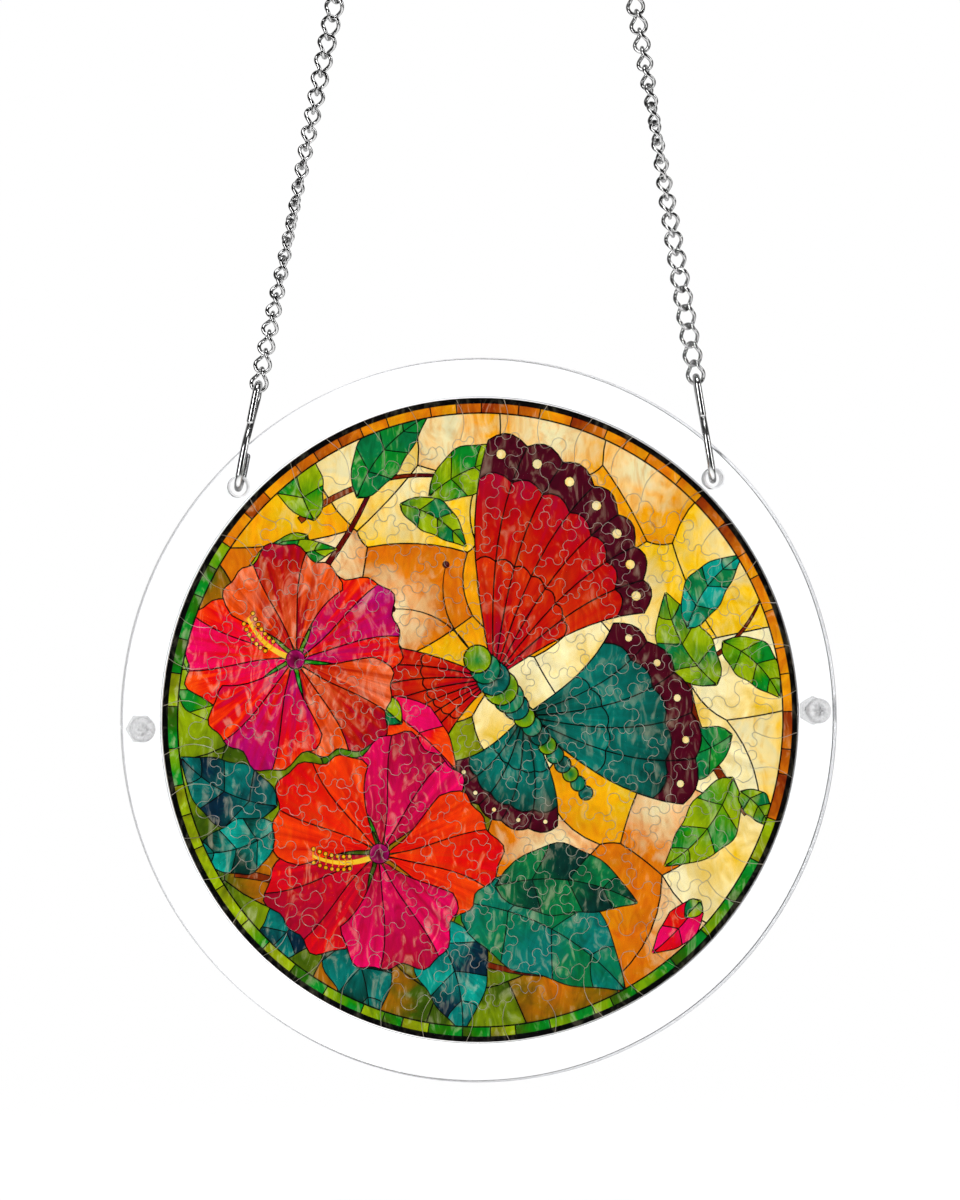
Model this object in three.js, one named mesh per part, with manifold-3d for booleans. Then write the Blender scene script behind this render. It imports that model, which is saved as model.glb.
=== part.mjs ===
// Round acrylic puzzle suncatcher: a printed jigsaw disc between two clear plates, hung on two chains.
// Millimetres, +Z up, the front faces -Y. The origin is where the top ring hangs on its hook.
import * as THREE from 'three';
import { mergeVertices } from 'three/addons/utils/BufferGeometryUtils.js';
import Module from 'manifold-3d';

const wasm = await Module();
wasm.setup();

// Clear plates and the ring that holds the jigsaw between them
const pictureRadius = 89;
const pictureClearance = 0.3;
const rimWidth = 11;
const plateThickness = 2;
const sheetThickness = 2;
const roundSegments = 60;

// Screws and nuts, one pair at each side of the stack, halfway across the clear rim
const screwDiameter = 4;
const screwClearance = 0.3;
const screwTail = 1.2;
const headDiameter = 7;
const headHeight = 2.4;
const headEdge = 1;
const recessSpan = 4.4;
const recessWidth = 1;
const recessDepth = 1.3;
const nutAcrossFlats = 7;
const nutThickness = 3.2;
const nutClearance = 0.3;
const screwSegments = 12;

// Hooks, bent from round wire, and the holes they pass through, set off from the picture's edge
const hookHoleSetOff = 4.4;
const hookHoleDiameter = 5;
const hookHoleAngle = THREE.MathUtils.degToRad(44.6);
const hookWire = 2;
const hookReach = 28.8;
const hookTopRadius = 3.6;
const hookPlateGap = 0.7;
const hookSeat = 0.4;
const hookFrontLegEnd = 18;
const hookRearLegEnd = 9;
const hookTurn = THREE.MathUtils.degToRad(11);
const hookSteps = 26;
const hookSides = 8;

// Chain of twisted oval links
const linkPitch = 5.2;
const linkWidth = 5.3;
const linkWire = 1.1;
const linkBite = 0.12;
const linkTwist = THREE.MathUtils.degToRad(-45);
const linkCorners = 6;
const linkSides = 3;
const rightLinkCount = 63;
const extraLeftLinks = 1;

// How each run of links turns on its way up: its first link's turn from facing the front, and the
// half turns added by the last link, whose end lies across the ring's wire
const leftFirstTurn = THREE.MathUtils.degToRad(-20);
const leftHalfTurns = 3;
const rightFirstTurn = THREE.MathUtils.degToRad(-35);
const rightHalfTurns = 2;

// Top ring
const ringRadius = 12;
const ringWire = 2;
const ringSegments = 24;
const ringSides = 6;

// The gap kept between pieces that hang on each other, and how the disc hangs: a little askew
const hangingGap = 0.3;
const discTilt = THREE.MathUtils.degToRad(1.3);

const clearAcrylic = { color: 0xf4f8fa, roughness: 0.05, metalness: 0, transparent: true, opacity: 0.25 };
const printedAcrylic = { color: 0xb4803a, roughness: 0.2, metalness: 0 };
const clearPlastic = { color: 0xe9edf0, roughness: 0.2, metalness: 0, transparent: true, opacity: 0.5 };
const brightSteel = { color: 0xc2c5c8, roughness: 0.2, metalness: 1 };

const plateRadius = pictureRadius + rimWidth;
const stackFront = -(plateThickness + sheetThickness / 2);
const stackBack = -stackFront;

// A closed solid from a three.js geometry, with only its positions kept and shared corners merged
function solidOf(geometry) {
  const bare = geometry.clone();
  bare.deleteAttribute('normal');
  bare.deleteAttribute('uv');
  const merged = mergeVertices(bare, 1e-5);
  return new wasm.Manifold(new wasm.Mesh({
    numProp: 3,
    vertProperties: new Float32Array(merged.attributes.position.array),
    triVerts: new Uint32Array(merged.index.array),
  }));
}

// The vertices and triangles of a solid, as a three.js geometry
function geometryOf(solid) {
  const mesh = solid.getMesh();
  const geometry = new THREE.BufferGeometry();
  geometry.setAttribute('position', new THREE.BufferAttribute(new Float32Array(mesh.vertProperties), 3));
  geometry.setIndex(new THREE.BufferAttribute(new Uint32Array(mesh.triVerts), 1));
  geometry.computeVertexNormals();
  return geometry;
}

function namedMesh(name, geometry, finish) {
  const mesh = new THREE.Mesh(geometry, new THREE.MeshStandardMaterial(finish));
  mesh.name = name;
  return mesh;
}

// Points on a circle in the XZ plane of the disc, written as (x, z)
function circlePoints(radius, segments, centre = new THREE.Vector2()) {
  return Array.from({ length: segments }, (_, i) => {
    const angle = (2 * Math.PI * i) / segments;
    return new THREE.Vector2(centre.x + radius * Math.cos(angle), centre.y + radius * Math.sin(angle));
  });
}

// A flat layer of the stack, cut from sheet between two depths
function layer(outline, cutouts, front, back) {
  const shape = new THREE.Shape(outline);
  shape.holes = cutouts.map((points) => new THREE.Path(points));
  const geometry = new THREE.ExtrudeGeometry(shape, { depth: back - front, bevelEnabled: false });
  return geometry.rotateX(Math.PI / 2).translate(0, back, 0);
}

const screwRadius = pictureRadius + rimWidth / 2;
const screwPlaces = {
  left: new THREE.Vector2(-screwRadius, 0),
  right: new THREE.Vector2(screwRadius, 0),
};
const hookHoleRadius = pictureRadius + hookHoleSetOff;
const hookHoleInset = plateRadius - hookHoleRadius;
const hookPlaces = {
  left: new THREE.Vector2(-Math.cos(hookHoleAngle), Math.sin(hookHoleAngle)).multiplyScalar(hookHoleRadius),
  right: new THREE.Vector2(Math.cos(hookHoleAngle), Math.sin(hookHoleAngle)).multiplyScalar(hookHoleRadius),
};

// The four holes drilled through every layer outside the jigsaw
function drilledHoles() {
  const screwHole = screwDiameter / 2 + screwClearance;
  return [
    ...Object.values(screwPlaces).map((place) => circlePoints(screwHole, screwSegments, place)),
    ...Object.values(hookPlaces).map((place) => circlePoints(hookHoleDiameter / 2, screwSegments, place)),
  ];
}

function clearPlate(front) {
  const outline = circlePoints(plateRadius, roundSegments);
  return layer(outline, drilledHoles(), front, front + plateThickness);
}

function middleRing() {
  const outline = circlePoints(plateRadius, roundSegments);
  const seat = circlePoints(pictureRadius + pictureClearance, roundSegments);
  return layer(outline, [seat, ...drilledHoles()], -sheetThickness / 2, sheetThickness / 2);
}

function jigsawDisc() {
  const outline = circlePoints(pictureRadius, roundSegments);
  return layer(outline, [], -sheetThickness / 2, sheetThickness / 2);
}

// A pan-head screw along Y, its head on the front plate and a cross recess in the head
function screw(place) {
  const headRadius = headDiameter / 2;
  const shankRadius = screwDiameter / 2;
  const headTop = stackFront - headHeight;
  const tail = stackBack + nutThickness + screwTail;
  const profile = [
    new THREE.Vector2(0, headTop),
    new THREE.Vector2(headRadius * 0.6, headTop),
    new THREE.Vector2(headRadius * 0.9, headTop + (headHeight - headEdge) / 2),
    new THREE.Vector2(headRadius, stackFront - headEdge),
    new THREE.Vector2(headRadius, stackFront),
    new THREE.Vector2(shankRadius, stackFront),
    new THREE.Vector2(shankRadius, tail - shankRadius / 4),
    new THREE.Vector2(shankRadius * 0.75, tail),
    new THREE.Vector2(0, tail),
  ];
  const turned = solidOf(new THREE.LatheGeometry(profile, screwSegments));
  const slotDepth = 2 * recessDepth;
  const slots = [
    new THREE.BoxGeometry(recessSpan, slotDepth, recessWidth),
    new THREE.BoxGeometry(recessWidth, slotDepth, recessSpan),
  ];
  const recess = slots.map((slot) => solidOf(slot.translate(0, headTop, 0)))
    .reduce((joined, slot) => joined.add(slot));
  return geometryOf(turned.subtract(recess)).translate(place.x, 0, place.y);
}

// A hexagon nut behind the back plate, turned so that a corner or a flat points sideways
function nut(place, turn) {
  const cornerRadius = nutAcrossFlats / Math.sqrt(3);
  const outline = circlePoints(cornerRadius, 6).map((point) => point.rotateAround(new THREE.Vector2(), turn));
  const bore = circlePoints(screwDiameter / 2 + nutClearance, screwSegments);
  return layer(outline, [bore], stackBack, stackBack + nutThickness).translate(place.x, 0, place.y);
}

// The hook's bent wire in its own plane, (y across the stack, z along the pull), from the hole's centre
function hookRoute() {
  const bottomRadius = stackBack + hookPlateGap + hookWire / 2;
  const bottomCentre = bottomRadius - hookSeat;
  const topCentre = hookReach - hookTopRadius;
  const arc = (centre, radius, from, to, count) => Array.from({ length: count + 1 }, (_, i) => {
    const angle = THREE.MathUtils.degToRad(from + ((to - from) * i) / count);
    return new THREE.Vector3(0, radius * Math.cos(angle), centre + radius * Math.sin(angle));
  });
  return [
    new THREE.Vector3(0, bottomRadius, hookRearLegEnd),
    ...arc(bottomCentre, bottomRadius, 0, -180, 6),
    new THREE.Vector3(0, -bottomRadius, hookHoleInset * 2 - hookWire),
    new THREE.Vector3(0, 0, (hookHoleInset * 2 + topCentre) / 2),
    ...arc(topCentre, hookTopRadius, 0, 180, 6),
    new THREE.Vector3(0, -hookTopRadius, hookFrontLegEnd),
  ];
}

function hook() {
  const route = new THREE.CatmullRomCurve3(hookRoute(), false, 'centripetal');
  const section = new THREE.Shape(circlePoints(hookWire / 2, hookSides));
  return new THREE.ExtrudeGeometry(section, { steps: hookSteps, extrudePath: route });
}

// One link along X, its two ends turned against each other about X so that it locks with its neighbours
function twistedLink() {
  const endRadius = (linkWidth - linkWire) / 2;
  const straight = (linkPitch - linkBite + linkWire) / 2 - endRadius;
  const reach = straight + endRadius;
  const geometry = new THREE.TorusGeometry(endRadius, linkWire / 2, linkSides, linkCorners);
  geometry.rotateZ(Math.PI / linkCorners);
  const position = geometry.attributes.position;
  for (let i = 0; i < position.count; i += 1) {
    const point = new THREE.Vector3().fromBufferAttribute(position, i);
    const onSide = Math.abs(point.x) < linkWire / 4;
    point.x += onSide ? 0 : Math.sign(point.x) * straight;
    point.applyAxisAngle(new THREE.Vector3(1, 0, 0), (linkTwist * point.x) / reach);
    position.setXYZ(i, point.x, point.y, point.z);
  }
  return solidOf(geometry);
}

// A run of links along X from the origin, fused where they touch
function chainRun(count, firstTurn, halfTurns) {
  const link = twistedLink();
  const lastTurn = Math.PI * (halfTurns + 0.5) - linkTwist;
  const turnStep = (lastTurn - firstTurn) / (count - 1);
  const links = Array.from({ length: count }, (_, i) => link
    .rotate([90 + THREE.MathUtils.radToDeg(firstTurn + turnStep * i), 0, 0])
    .translate([linkPitch * (i + 0.5), 0, 0]));
  return geometryOf(wasm.Manifold.union(links));
}

function topRing() {
  return new THREE.TorusGeometry(ringRadius, ringWire / 2, ringSides, ringSegments).rotateX(Math.PI / 2);
}

// How far the ends of a run of links lie from the hook's hole and from the ring's centre
const hookToChain = hookReach - hookWire / 2 - hangingGap;
const ringToChain = ringRadius - ringWire / 2 - hangingGap;
const runLength = (count) => hookToChain - linkBite + linkPitch * count + ringToChain;

// The hook holes as the disc hangs, and the ring's centre where the two runs meet above them
const hungPlace = (place) => place.clone().rotateAround(new THREE.Vector2(), discTilt);
const leftHole = hungPlace(hookPlaces.left);
const rightHole = hungPlace(hookPlaces.right);
const leftLinkCount = rightLinkCount + extraLeftLinks;
const span = rightHole.clone().sub(leftHole);
const leftRun = runLength(leftLinkCount);
const rightRun = runLength(rightLinkCount);
const along = (leftRun ** 2 - rightRun ** 2 + span.lengthSq()) / (2 * span.length());
const above = Math.sqrt(leftRun ** 2 - along ** 2);
const acrossSpan = span.clone().normalize();
const ringCentre = leftHole.clone()
  .addScaledVector(acrossSpan, along)
  .addScaledVector(new THREE.Vector2(-acrossSpan.y, acrossSpan.x), above);

const suncatcher = new THREE.Group();

const disc = new THREE.Group();
disc.rotation.y = -discTilt;
disc.add(namedMesh('front_plate', clearPlate(stackFront), clearAcrylic));
disc.add(namedMesh('middle_ring', middleRing(), clearAcrylic));
disc.add(namedMesh('back_plate', clearPlate(sheetThickness / 2), clearAcrylic));
disc.add(namedMesh('jigsaw_picture', jigsawDisc(), printedAcrylic));
disc.add(namedMesh('left_screw', screw(screwPlaces.left), clearPlastic));
disc.add(namedMesh('right_screw', screw(screwPlaces.right), clearPlastic));
disc.add(namedMesh('left_nut', nut(screwPlaces.left, 0), clearPlastic));
disc.add(namedMesh('right_nut', nut(screwPlaces.right, Math.PI / 6), clearPlastic));
suncatcher.add(disc);

// A hook and its run of links lie on the straight line from the hook's hole to the ring's centre, the
// hook turned about that line with its rear leg to the right
function hangingLine(side, hole, count, firstTurn, halfTurns) {
  const pull = ringCentre.clone().sub(hole);
  const line = new THREE.Group();
  line.position.set(hole.x, 0, hole.y);
  line.rotation.y = Math.atan2(pull.x, pull.y);
  const bentHook = namedMesh(`${side}_hook`, hook(), brightSteel);
  bentHook.rotation.z = -hookTurn;
  line.add(bentHook);
  const chain = namedMesh(`${side}_chain`, chainRun(count, firstTurn, halfTurns), brightSteel);
  chain.rotation.y = -Math.PI / 2;
  chain.position.z = hookToChain - linkBite / 2;
  line.add(chain);
  return line;
}

suncatcher.add(hangingLine('left', leftHole, leftLinkCount, leftFirstTurn, leftHalfTurns));
suncatcher.add(hangingLine('right', rightHole, rightLinkCount, rightFirstTurn, rightHalfTurns));

const ring = namedMesh('top_ring', topRing(), brightSteel);
ring.position.set(ringCentre.x, 0, ringCentre.y);
suncatcher.add(ring);

// The ring's inner top, where it rests on what holds it, is the origin
suncatcher.position.set(-ringCentre.x, 0, -(ringCentre.y + ringRadius - ringWire / 2));

export default suncatcher;
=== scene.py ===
"""Round acrylic puzzle suncatcher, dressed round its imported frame.

Metres in the frame, millimetres in the sizes. +Z is up and the picture faces -Y.
"""

from __future__ import annotations

import logging
import math
import random
from collections.abc import Callable, Iterable, Sequence
from dataclasses import dataclass, field
from enum import Enum

import bpy
import numpy as np
from mathutils import Matrix, Vector
from mathutils.geometry import delaunay_2d_cdt


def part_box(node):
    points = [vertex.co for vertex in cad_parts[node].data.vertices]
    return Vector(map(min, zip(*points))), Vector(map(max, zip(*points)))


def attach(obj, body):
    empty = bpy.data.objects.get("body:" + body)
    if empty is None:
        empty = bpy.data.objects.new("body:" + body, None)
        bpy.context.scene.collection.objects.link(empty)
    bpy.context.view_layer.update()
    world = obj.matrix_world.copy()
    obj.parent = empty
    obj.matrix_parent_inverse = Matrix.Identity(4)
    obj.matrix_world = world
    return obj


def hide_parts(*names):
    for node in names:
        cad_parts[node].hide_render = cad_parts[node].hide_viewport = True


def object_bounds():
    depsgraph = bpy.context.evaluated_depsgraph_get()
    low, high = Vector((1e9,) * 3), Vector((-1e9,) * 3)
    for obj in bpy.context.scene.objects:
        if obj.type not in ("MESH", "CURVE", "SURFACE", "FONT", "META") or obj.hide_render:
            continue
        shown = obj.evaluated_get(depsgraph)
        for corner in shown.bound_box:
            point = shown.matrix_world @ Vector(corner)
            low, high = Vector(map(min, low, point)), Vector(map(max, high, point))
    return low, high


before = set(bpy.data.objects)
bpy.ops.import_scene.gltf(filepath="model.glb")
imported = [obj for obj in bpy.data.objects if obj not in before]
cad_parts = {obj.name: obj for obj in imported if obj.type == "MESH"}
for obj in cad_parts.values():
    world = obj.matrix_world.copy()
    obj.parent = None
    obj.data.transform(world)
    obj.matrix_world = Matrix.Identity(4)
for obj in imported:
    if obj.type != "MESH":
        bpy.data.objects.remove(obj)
CAD_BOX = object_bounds()

MM = 0.001
LOG = logging.getLogger("suncatcher")
Point = tuple[float, float]
Outline = list[Point]


# Node helpers


class NodeMaker:
    """Adds nodes to one tree and links what it is given."""

    def __init__(self, tree: bpy.types.NodeTree) -> None:
        """Keeps the tree."""
        self.tree = tree

    def add(self, kind: str, inputs: dict | None = None, **settings: object) -> bpy.types.Node:
        """Adds one node.

        Args:
            kind: The node's type name.
            inputs: A value or a socket for each input, by name or index.
            settings: The node's own properties.

        Returns:
            The new node.
        """
        node = self.tree.nodes.new(kind)
        for name, value in settings.items():
            setattr(node, name, value)
        for key, value in (inputs or {}).items():
            socket = node.inputs[key]
            if isinstance(value, bpy.types.NodeSocket):
                self.tree.links.new(value, socket)
            else:
                socket.default_value = value
        return node

    def math(self, operation: str, *values: object, clamp: bool = False) -> bpy.types.NodeSocket:
        """Adds a Math node and returns its result."""
        node = self.add("ShaderNodeMath", dict(enumerate(values)), operation=operation, use_clamp=clamp)
        return node.outputs[0]

    def spread(self, value: object, low: float, high: float, start: object = 0.0, stop: object = 1.0,
               **settings: object) -> bpy.types.NodeSocket:
        """Maps a value from start..stop to low..high and returns the result."""
        inputs = {"Value": value, "From Min": start, "From Max": stop, "To Min": low, "To Max": high}
        return self.add("ShaderNodeMapRange", inputs, **settings).outputs["Result"]

    def place(self) -> bpy.types.NodeSocket:
        """Returns the place on a piece, in its object's coordinates."""
        return self.add("ShaderNodeTexCoord").outputs["Object"]

    def link(self, socket: bpy.types.NodeSocket, node: bpy.types.Node, name: str) -> None:
        """Links a socket to a node's input."""
        self.tree.links.new(socket, node.inputs[name])

    def noise(self, vector: object, scale: float, detail: float = 2.0,
              distortion: float = 0.0) -> bpy.types.NodeSocket:
        """Adds a noise texture on a vector and returns its factor."""
        inputs = {"Vector": vector, "Scale": scale, "Detail": detail, "Distortion": distortion}
        return self.add("ShaderNodeTexNoise", inputs).outputs[0]

    def mix(self, factor: object, first: object, second: object,
            blend: str = "MIX") -> bpy.types.NodeSocket:
        """Mixes two colours and returns the result."""
        node = self.add("ShaderNodeMix", data_type="RGBA", blend_type=blend, clamp_factor=True)
        for index, value in ((0, factor), (6, first), (7, second)):
            if isinstance(value, bpy.types.NodeSocket):
                self.tree.links.new(value, node.inputs[index])
            else:
                node.inputs[index].default_value = value
        return node.outputs[2]


def new_material(name: str) -> tuple[bpy.types.Material, NodeMaker, bpy.types.Node]:
    """Makes an empty material.

    Args:
        name: The material's name.

    Returns:
        The material, a maker for its nodes and its principled shader.
    """
    material = bpy.data.materials.new(name)
    material.use_nodes = True
    shader = material.node_tree.nodes["Principled BSDF"]
    return material, NodeMaker(material.node_tree), shader


def link_bump(maker: NodeMaker, shader: bpy.types.Node, height: object, strength: float,
              distance: float) -> None:
    """Gives a shader a bump from a height, its distance in millimetres."""
    inputs = {"Height": height, "Strength": strength, "Distance": distance * MM}
    bump = maker.add("ShaderNodeBump", inputs)
    maker.link(bump.outputs["Normal"], shader, "Normal")


# Finishes


@dataclass(frozen=True)
class ClearSheet:
    """Clear cast acrylic with a polished or a laser-cut face."""

    name: str
    tint: tuple[float, float, float]
    roughness: tuple[float, float]
    scuff_scale: float
    refraction: float = 1.49

    def build(self) -> bpy.types.Material:
        """Makes the material."""
        material, maker, shader = new_material(self.name)
        shader.inputs["Base Color"].default_value = (*self.tint, 1)
        shader.inputs["Transmission Weight"].default_value = 1.0
        shader.inputs["IOR"].default_value = self.refraction
        scuffs = maker.noise(maker.place(), self.scuff_scale, 3.0)
        maker.link(maker.spread(scuffs, *self.roughness), shader, "Roughness")
        return material


@dataclass(frozen=True)
class WireMetal:
    """Bright drawn wire, plated or bare, in two greys that run into each other."""

    name: str
    dark: float
    bright: float
    roughness: tuple[float, float]
    grain_scale: float
    ripple: float
    cloud_size: float = 4.0
    ripple_depth: float = 0.01

    def build(self) -> bpy.types.Material:
        """Makes the material."""
        material, maker, shader = new_material(self.name)
        shader.inputs["Metallic"].default_value = 1.0
        place = maker.place()
        cloud = maker.noise(place, self.grain_scale / self.cloud_size)
        grain = maker.noise(place, self.grain_scale, 4.0, 0.4)
        colour = maker.mix(cloud, (*[self.dark] * 3, 1), (*[self.bright] * 3, 1))
        maker.link(colour, shader, "Base Color")
        maker.link(maker.spread(grain, *self.roughness), shader, "Roughness")
        link_bump(maker, shader, grain, self.ripple, self.ripple_depth)
        return material


@dataclass(frozen=True)
class PrintedGlass:
    """The printed face of the jigsaw: opalescent panes, whose colours each face carries."""

    name: str
    cloud_scale: float = 95.0
    wisp_scale: float = 210.0
    wisp_stretch: tuple[float, float, float] = (1.0, 1.0, 0.45)
    wisp_colour: tuple[float, float, float, float] = (0.95, 0.86, 0.6, 1.0)
    pale_wisps: tuple[float, float, float] = (0.3, 0.52, 0.74)
    deep_wisps: tuple[float, float, float] = (0.5, 0.5, 0.3)
    streak_scale: float = 1.6
    streak_count: float = 9.0
    streak_reach: float = 0.8
    contrast: float = 1.7
    shading: float = 0.5
    saturation: float = 1.12
    gloss: float = 0.03
    roughness: tuple[float, float] = (0.3, 0.45)

    def streaks(self, maker: NodeMaker, place: object, heart: object, reach: object) -> tuple:
        """Draws streaks that fan out from each pane's heart.

        Args:
            maker: The maker of the material's nodes.
            place: The place on the piece.
            heart: The middle of the pane's fan.
            reach: The length over which its two colours run into each other.

        Returns:
            The streaks and the distance from the heart, in shares of the reach.
        """
        away = maker.add("ShaderNodeVectorMath", {0: place, 1: heart}, operation="SUBTRACT").outputs[0]
        across, _, up = maker.add("ShaderNodeSeparateXYZ", {0: away}).outputs
        squares = [maker.math("POWER", side, 2.0) for side in (across, up)]
        distance = maker.math("DIVIDE", maker.math("SQRT", maker.math("ADD", *squares)), reach)
        angle = maker.math("ARCTAN2", up, across)
        fan = maker.add("ShaderNodeCombineXYZ", {
            0: maker.math("MULTIPLY", angle, self.streak_count),
            1: maker.math("MULTIPLY", distance, self.streak_reach),
            2: reach,
        })
        return maker.noise(fan.outputs[0], self.streak_scale, 3.0, 0.3), distance

    def build(self) -> bpy.types.Material:
        """Makes the material."""
        material, maker, shader = new_material(self.name)
        place = maker.place()
        first, second = (maker.add("ShaderNodeAttribute", attribute_name=name).outputs["Color"]
                         for name in ("tint_a", "tint_b"))
        heart, traits = (maker.add("ShaderNodeAttribute", attribute_name=name).outputs["Vector"]
                         for name in ("heart", "traits"))
        reach, grain, mottle = maker.add("ShaderNodeSeparateXYZ", {0: traits}).outputs
        streaks, distance = self.streaks(maker, place, heart, reach)
        clouds = maker.noise(place, self.cloud_scale, 4.0, 1.4)
        marks = maker.math("ADD", maker.math("MULTIPLY", streaks, grain),
                           maker.math("MULTIPLY", clouds, maker.math("SUBTRACT", 1.0, grain)))
        lift = maker.math("MULTIPLY", maker.math("SUBTRACT", marks, 0.5), self.contrast)
        swing = maker.math("MULTIPLY", lift, mottle)
        colour = maker.mix(maker.math("ADD", distance, swing, clamp=True), first, second)
        stretched = maker.add("ShaderNodeVectorMath", {0: place, 1: self.wisp_stretch}, operation="MULTIPLY")
        wisps = maker.noise(stretched.outputs[0], self.wisp_scale, 5.0, 2.4)
        pale = maker.math("MULTIPLY", maker.spread(wisps, 0.0, *self.pale_wisps), mottle)
        colour = maker.mix(pale, colour, self.wisp_colour, "SCREEN")
        deep = maker.math("MULTIPLY", maker.spread(wisps, 0.0, *self.deep_wisps), mottle)
        colour = maker.mix(deep, colour, second, "MULTIPLY")
        shade = maker.math("ADD", 1.0, maker.math("MULTIPLY", swing, self.shading))
        tone = {"Color": colour, "Value": shade, "Saturation": self.saturation}
        maker.link(maker.add("ShaderNodeHueSaturation", tone).outputs[0], shader, "Base Color")
        shader.inputs["Specular IOR Level"].default_value = self.gloss
        maker.link(maker.spread(clouds, *self.roughness), shader, "Roughness")
        link_bump(maker, shader, clouds, 0.1, 0.03)
        return material


@dataclass(frozen=True)
class CutEdge:
    """The pale laser-cut edge of the printed acrylic."""

    name: str
    pale: tuple[float, float, float]
    warm: tuple[float, float, float]
    grain_scale: float = 160.0
    roughness: tuple[float, float] = (0.2, 0.4)

    def build(self) -> bpy.types.Material:
        """Makes the material."""
        material, maker, shader = new_material(self.name)
        cloud = maker.noise(maker.place(), self.grain_scale)
        maker.link(maker.mix(cloud, (*self.pale, 1), (*self.warm, 1)), shader, "Base Color")
        maker.link(maker.spread(cloud, *self.roughness), shader, "Roughness")
        return material


@dataclass(frozen=True)
class FrostedPlastic:
    """Clear plastic, moulded or drilled, a little milky and mottled; a strong mottle, as on the screws, is
    painted sparkle.
    """

    name: str
    tint: tuple[float, float, float]
    clearness: float
    roughness: tuple[float, float]
    grain_scale: float
    mottle: float
    ripple: float
    opacity: float = 1.0
    refraction: float = 1.53
    ripple_depth: float = 0.05
    mottle_range: tuple[float, float] = (0.36, 0.64)

    def build(self) -> bpy.types.Material:
        """Makes the material."""
        material, maker, shader = new_material(self.name)
        shader.inputs["Transmission Weight"].default_value = self.clearness
        shader.inputs["IOR"].default_value = self.refraction
        shader.inputs["Alpha"].default_value = self.opacity
        flow = maker.noise(maker.place(), self.grain_scale, 3.0, 0.8)
        marks = maker.spread(flow, 0.0, 1.0, *self.mottle_range)
        # Random darker tint; where the mottle is strong, as on the screws, it is painted sparkle.
        shade = tuple(channel * (1 - self.mottle) for channel in self.tint)
        maker.link(maker.mix(marks, (*self.tint, 1), (*shade, 1)), shader, "Base Color")
        maker.link(maker.spread(flow, *self.roughness), shader, "Roughness")
        link_bump(maker, shader, flow, self.ripple, self.ripple_depth)
        return material


class Finish(Enum):
    """The finishes of the suncatcher's pieces."""

    POLISHED_FACE = ClearSheet("polished_clear_acrylic", (0.992, 0.994, 0.996), (0.0, 0.012), 40.0)
    CUT_RIM = ClearSheet("laser_cut_clear_edge", (0.86, 0.87, 0.89), (0.1, 0.25), 700.0)
    # Frosted outer bevel whose dark grey tint is painted shade: the dark line that the clear rim's edge
    # shows.
    SHADED_RIM_EDGE = FrostedPlastic("frosted_outer_edge_painted_shade", (0.44, 0.44, 0.46), clearness=0.2,
                              roughness=(0.4, 0.5), grain_scale=700.0, mottle=0.15, ripple=0.1)
    DRILLED_WALL = FrostedPlastic("drilled_frosted_wall", (0.76, 0.76, 0.77), clearness=0.7,
                                  roughness=(0.45, 0.6), grain_scale=420.0, mottle=0.1, ripple=0.2)
    PRINT = PrintedGlass("printed_glass_colours")
    PIECE_EDGE = CutEdge("cut_edge_of_jigsaw", (0.62, 0.56, 0.48), (0.5, 0.43, 0.34))
    # The screws' strong light-and-dark grain is painted sparkle, over the bump's moulded texture.
    CLEAR_PLASTIC = FrostedPlastic("clear_moulded_plastic_painted_sparkle", (0.74, 0.74, 0.75), clearness=0.35,
                                   roughness=(0.2, 0.4), grain_scale=1500.0, mottle=0.45, ripple=0.8,
                                   opacity=0.6)
    NUT_PLASTIC = FrostedPlastic("clear_nut_plastic", (0.74, 0.74, 0.75), clearness=0.4,
                                 roughness=(0.2, 0.4), grain_scale=1500.0, mottle=0.3, ripple=0.6,
                                 opacity=0.28)
    HOOK_STEEL = WireMetal("drawn_steel_wire", 0.6, 0.72, (0.12, 0.18), 500.0, 0.008)
    CHAIN_NICKEL = WireMetal("nickel_plated_wire", 0.46, 0.6, (0.05, 0.12), 700.0, 0.015)


_made: dict[Finish, bpy.types.Material] = {}


def finish_of(finish: Finish) -> bpy.types.Material:
    """Returns a finish's material, made once."""
    if finish not in _made:
        _made[finish] = finish.value.build()
    return _made[finish]


# Mesh helpers


def new_piece(name: str, points: Sequence, faces: Sequence, finishes: Sequence[Finish],
              slots: Sequence[int] | None = None, crease: float = 35.0) -> bpy.types.Object:
    """Makes one piece from points in metres.

    Args:
        name: The piece's name.
        points: Its vertices.
        faces: Its faces, as lists of vertex indices, counter-clockwise from outside.
        finishes: Its material slots in order.
        slots: The slot of each face, or None where there is one.
        crease: Edges sharper than this many degrees stay sharp.

    Returns:
        The object, at the origin.
    """
    mesh = bpy.data.meshes.new(name)
    mesh.from_pydata(points, [], faces)
    if slots is not None:
        mesh.polygons.foreach_set("material_index", list(slots))
    for finish in finishes:
        mesh.materials.append(finish_of(finish))
    mesh.shade_smooth()
    mesh.set_sharp_from_angle(angle=math.radians(crease))
    mesh.update()
    piece = bpy.data.objects.new(name, mesh)
    bpy.context.scene.collection.objects.link(piece)
    return piece


def hand_over(piece: bpy.types.Object, slot: str, *nodes: str) -> None:
    """Rides a piece on the body, in place of its CAD nodes, and logs it."""
    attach(piece, "root")
    if nodes:
        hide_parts(*nodes)
    LOG.info("%s: %d faces for %s", piece.name, len(piece.data.polygons), ", ".join(nodes))


def middle(node: str) -> Vector:
    """Returns the middle of a CAD node's box."""
    low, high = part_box(node)
    return (Vector(low) + Vector(high)) / 2


def circle(radius: float, count: int, centre: Point = (0.0, 0.0)) -> np.ndarray:
    """Returns counter-clockwise points on a circle, in millimetres."""
    angle = np.arange(count) * 2 * math.pi / count
    return np.stack([centre[0] + radius * np.cos(angle), centre[1] + radius * np.sin(angle)], 1)


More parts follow.
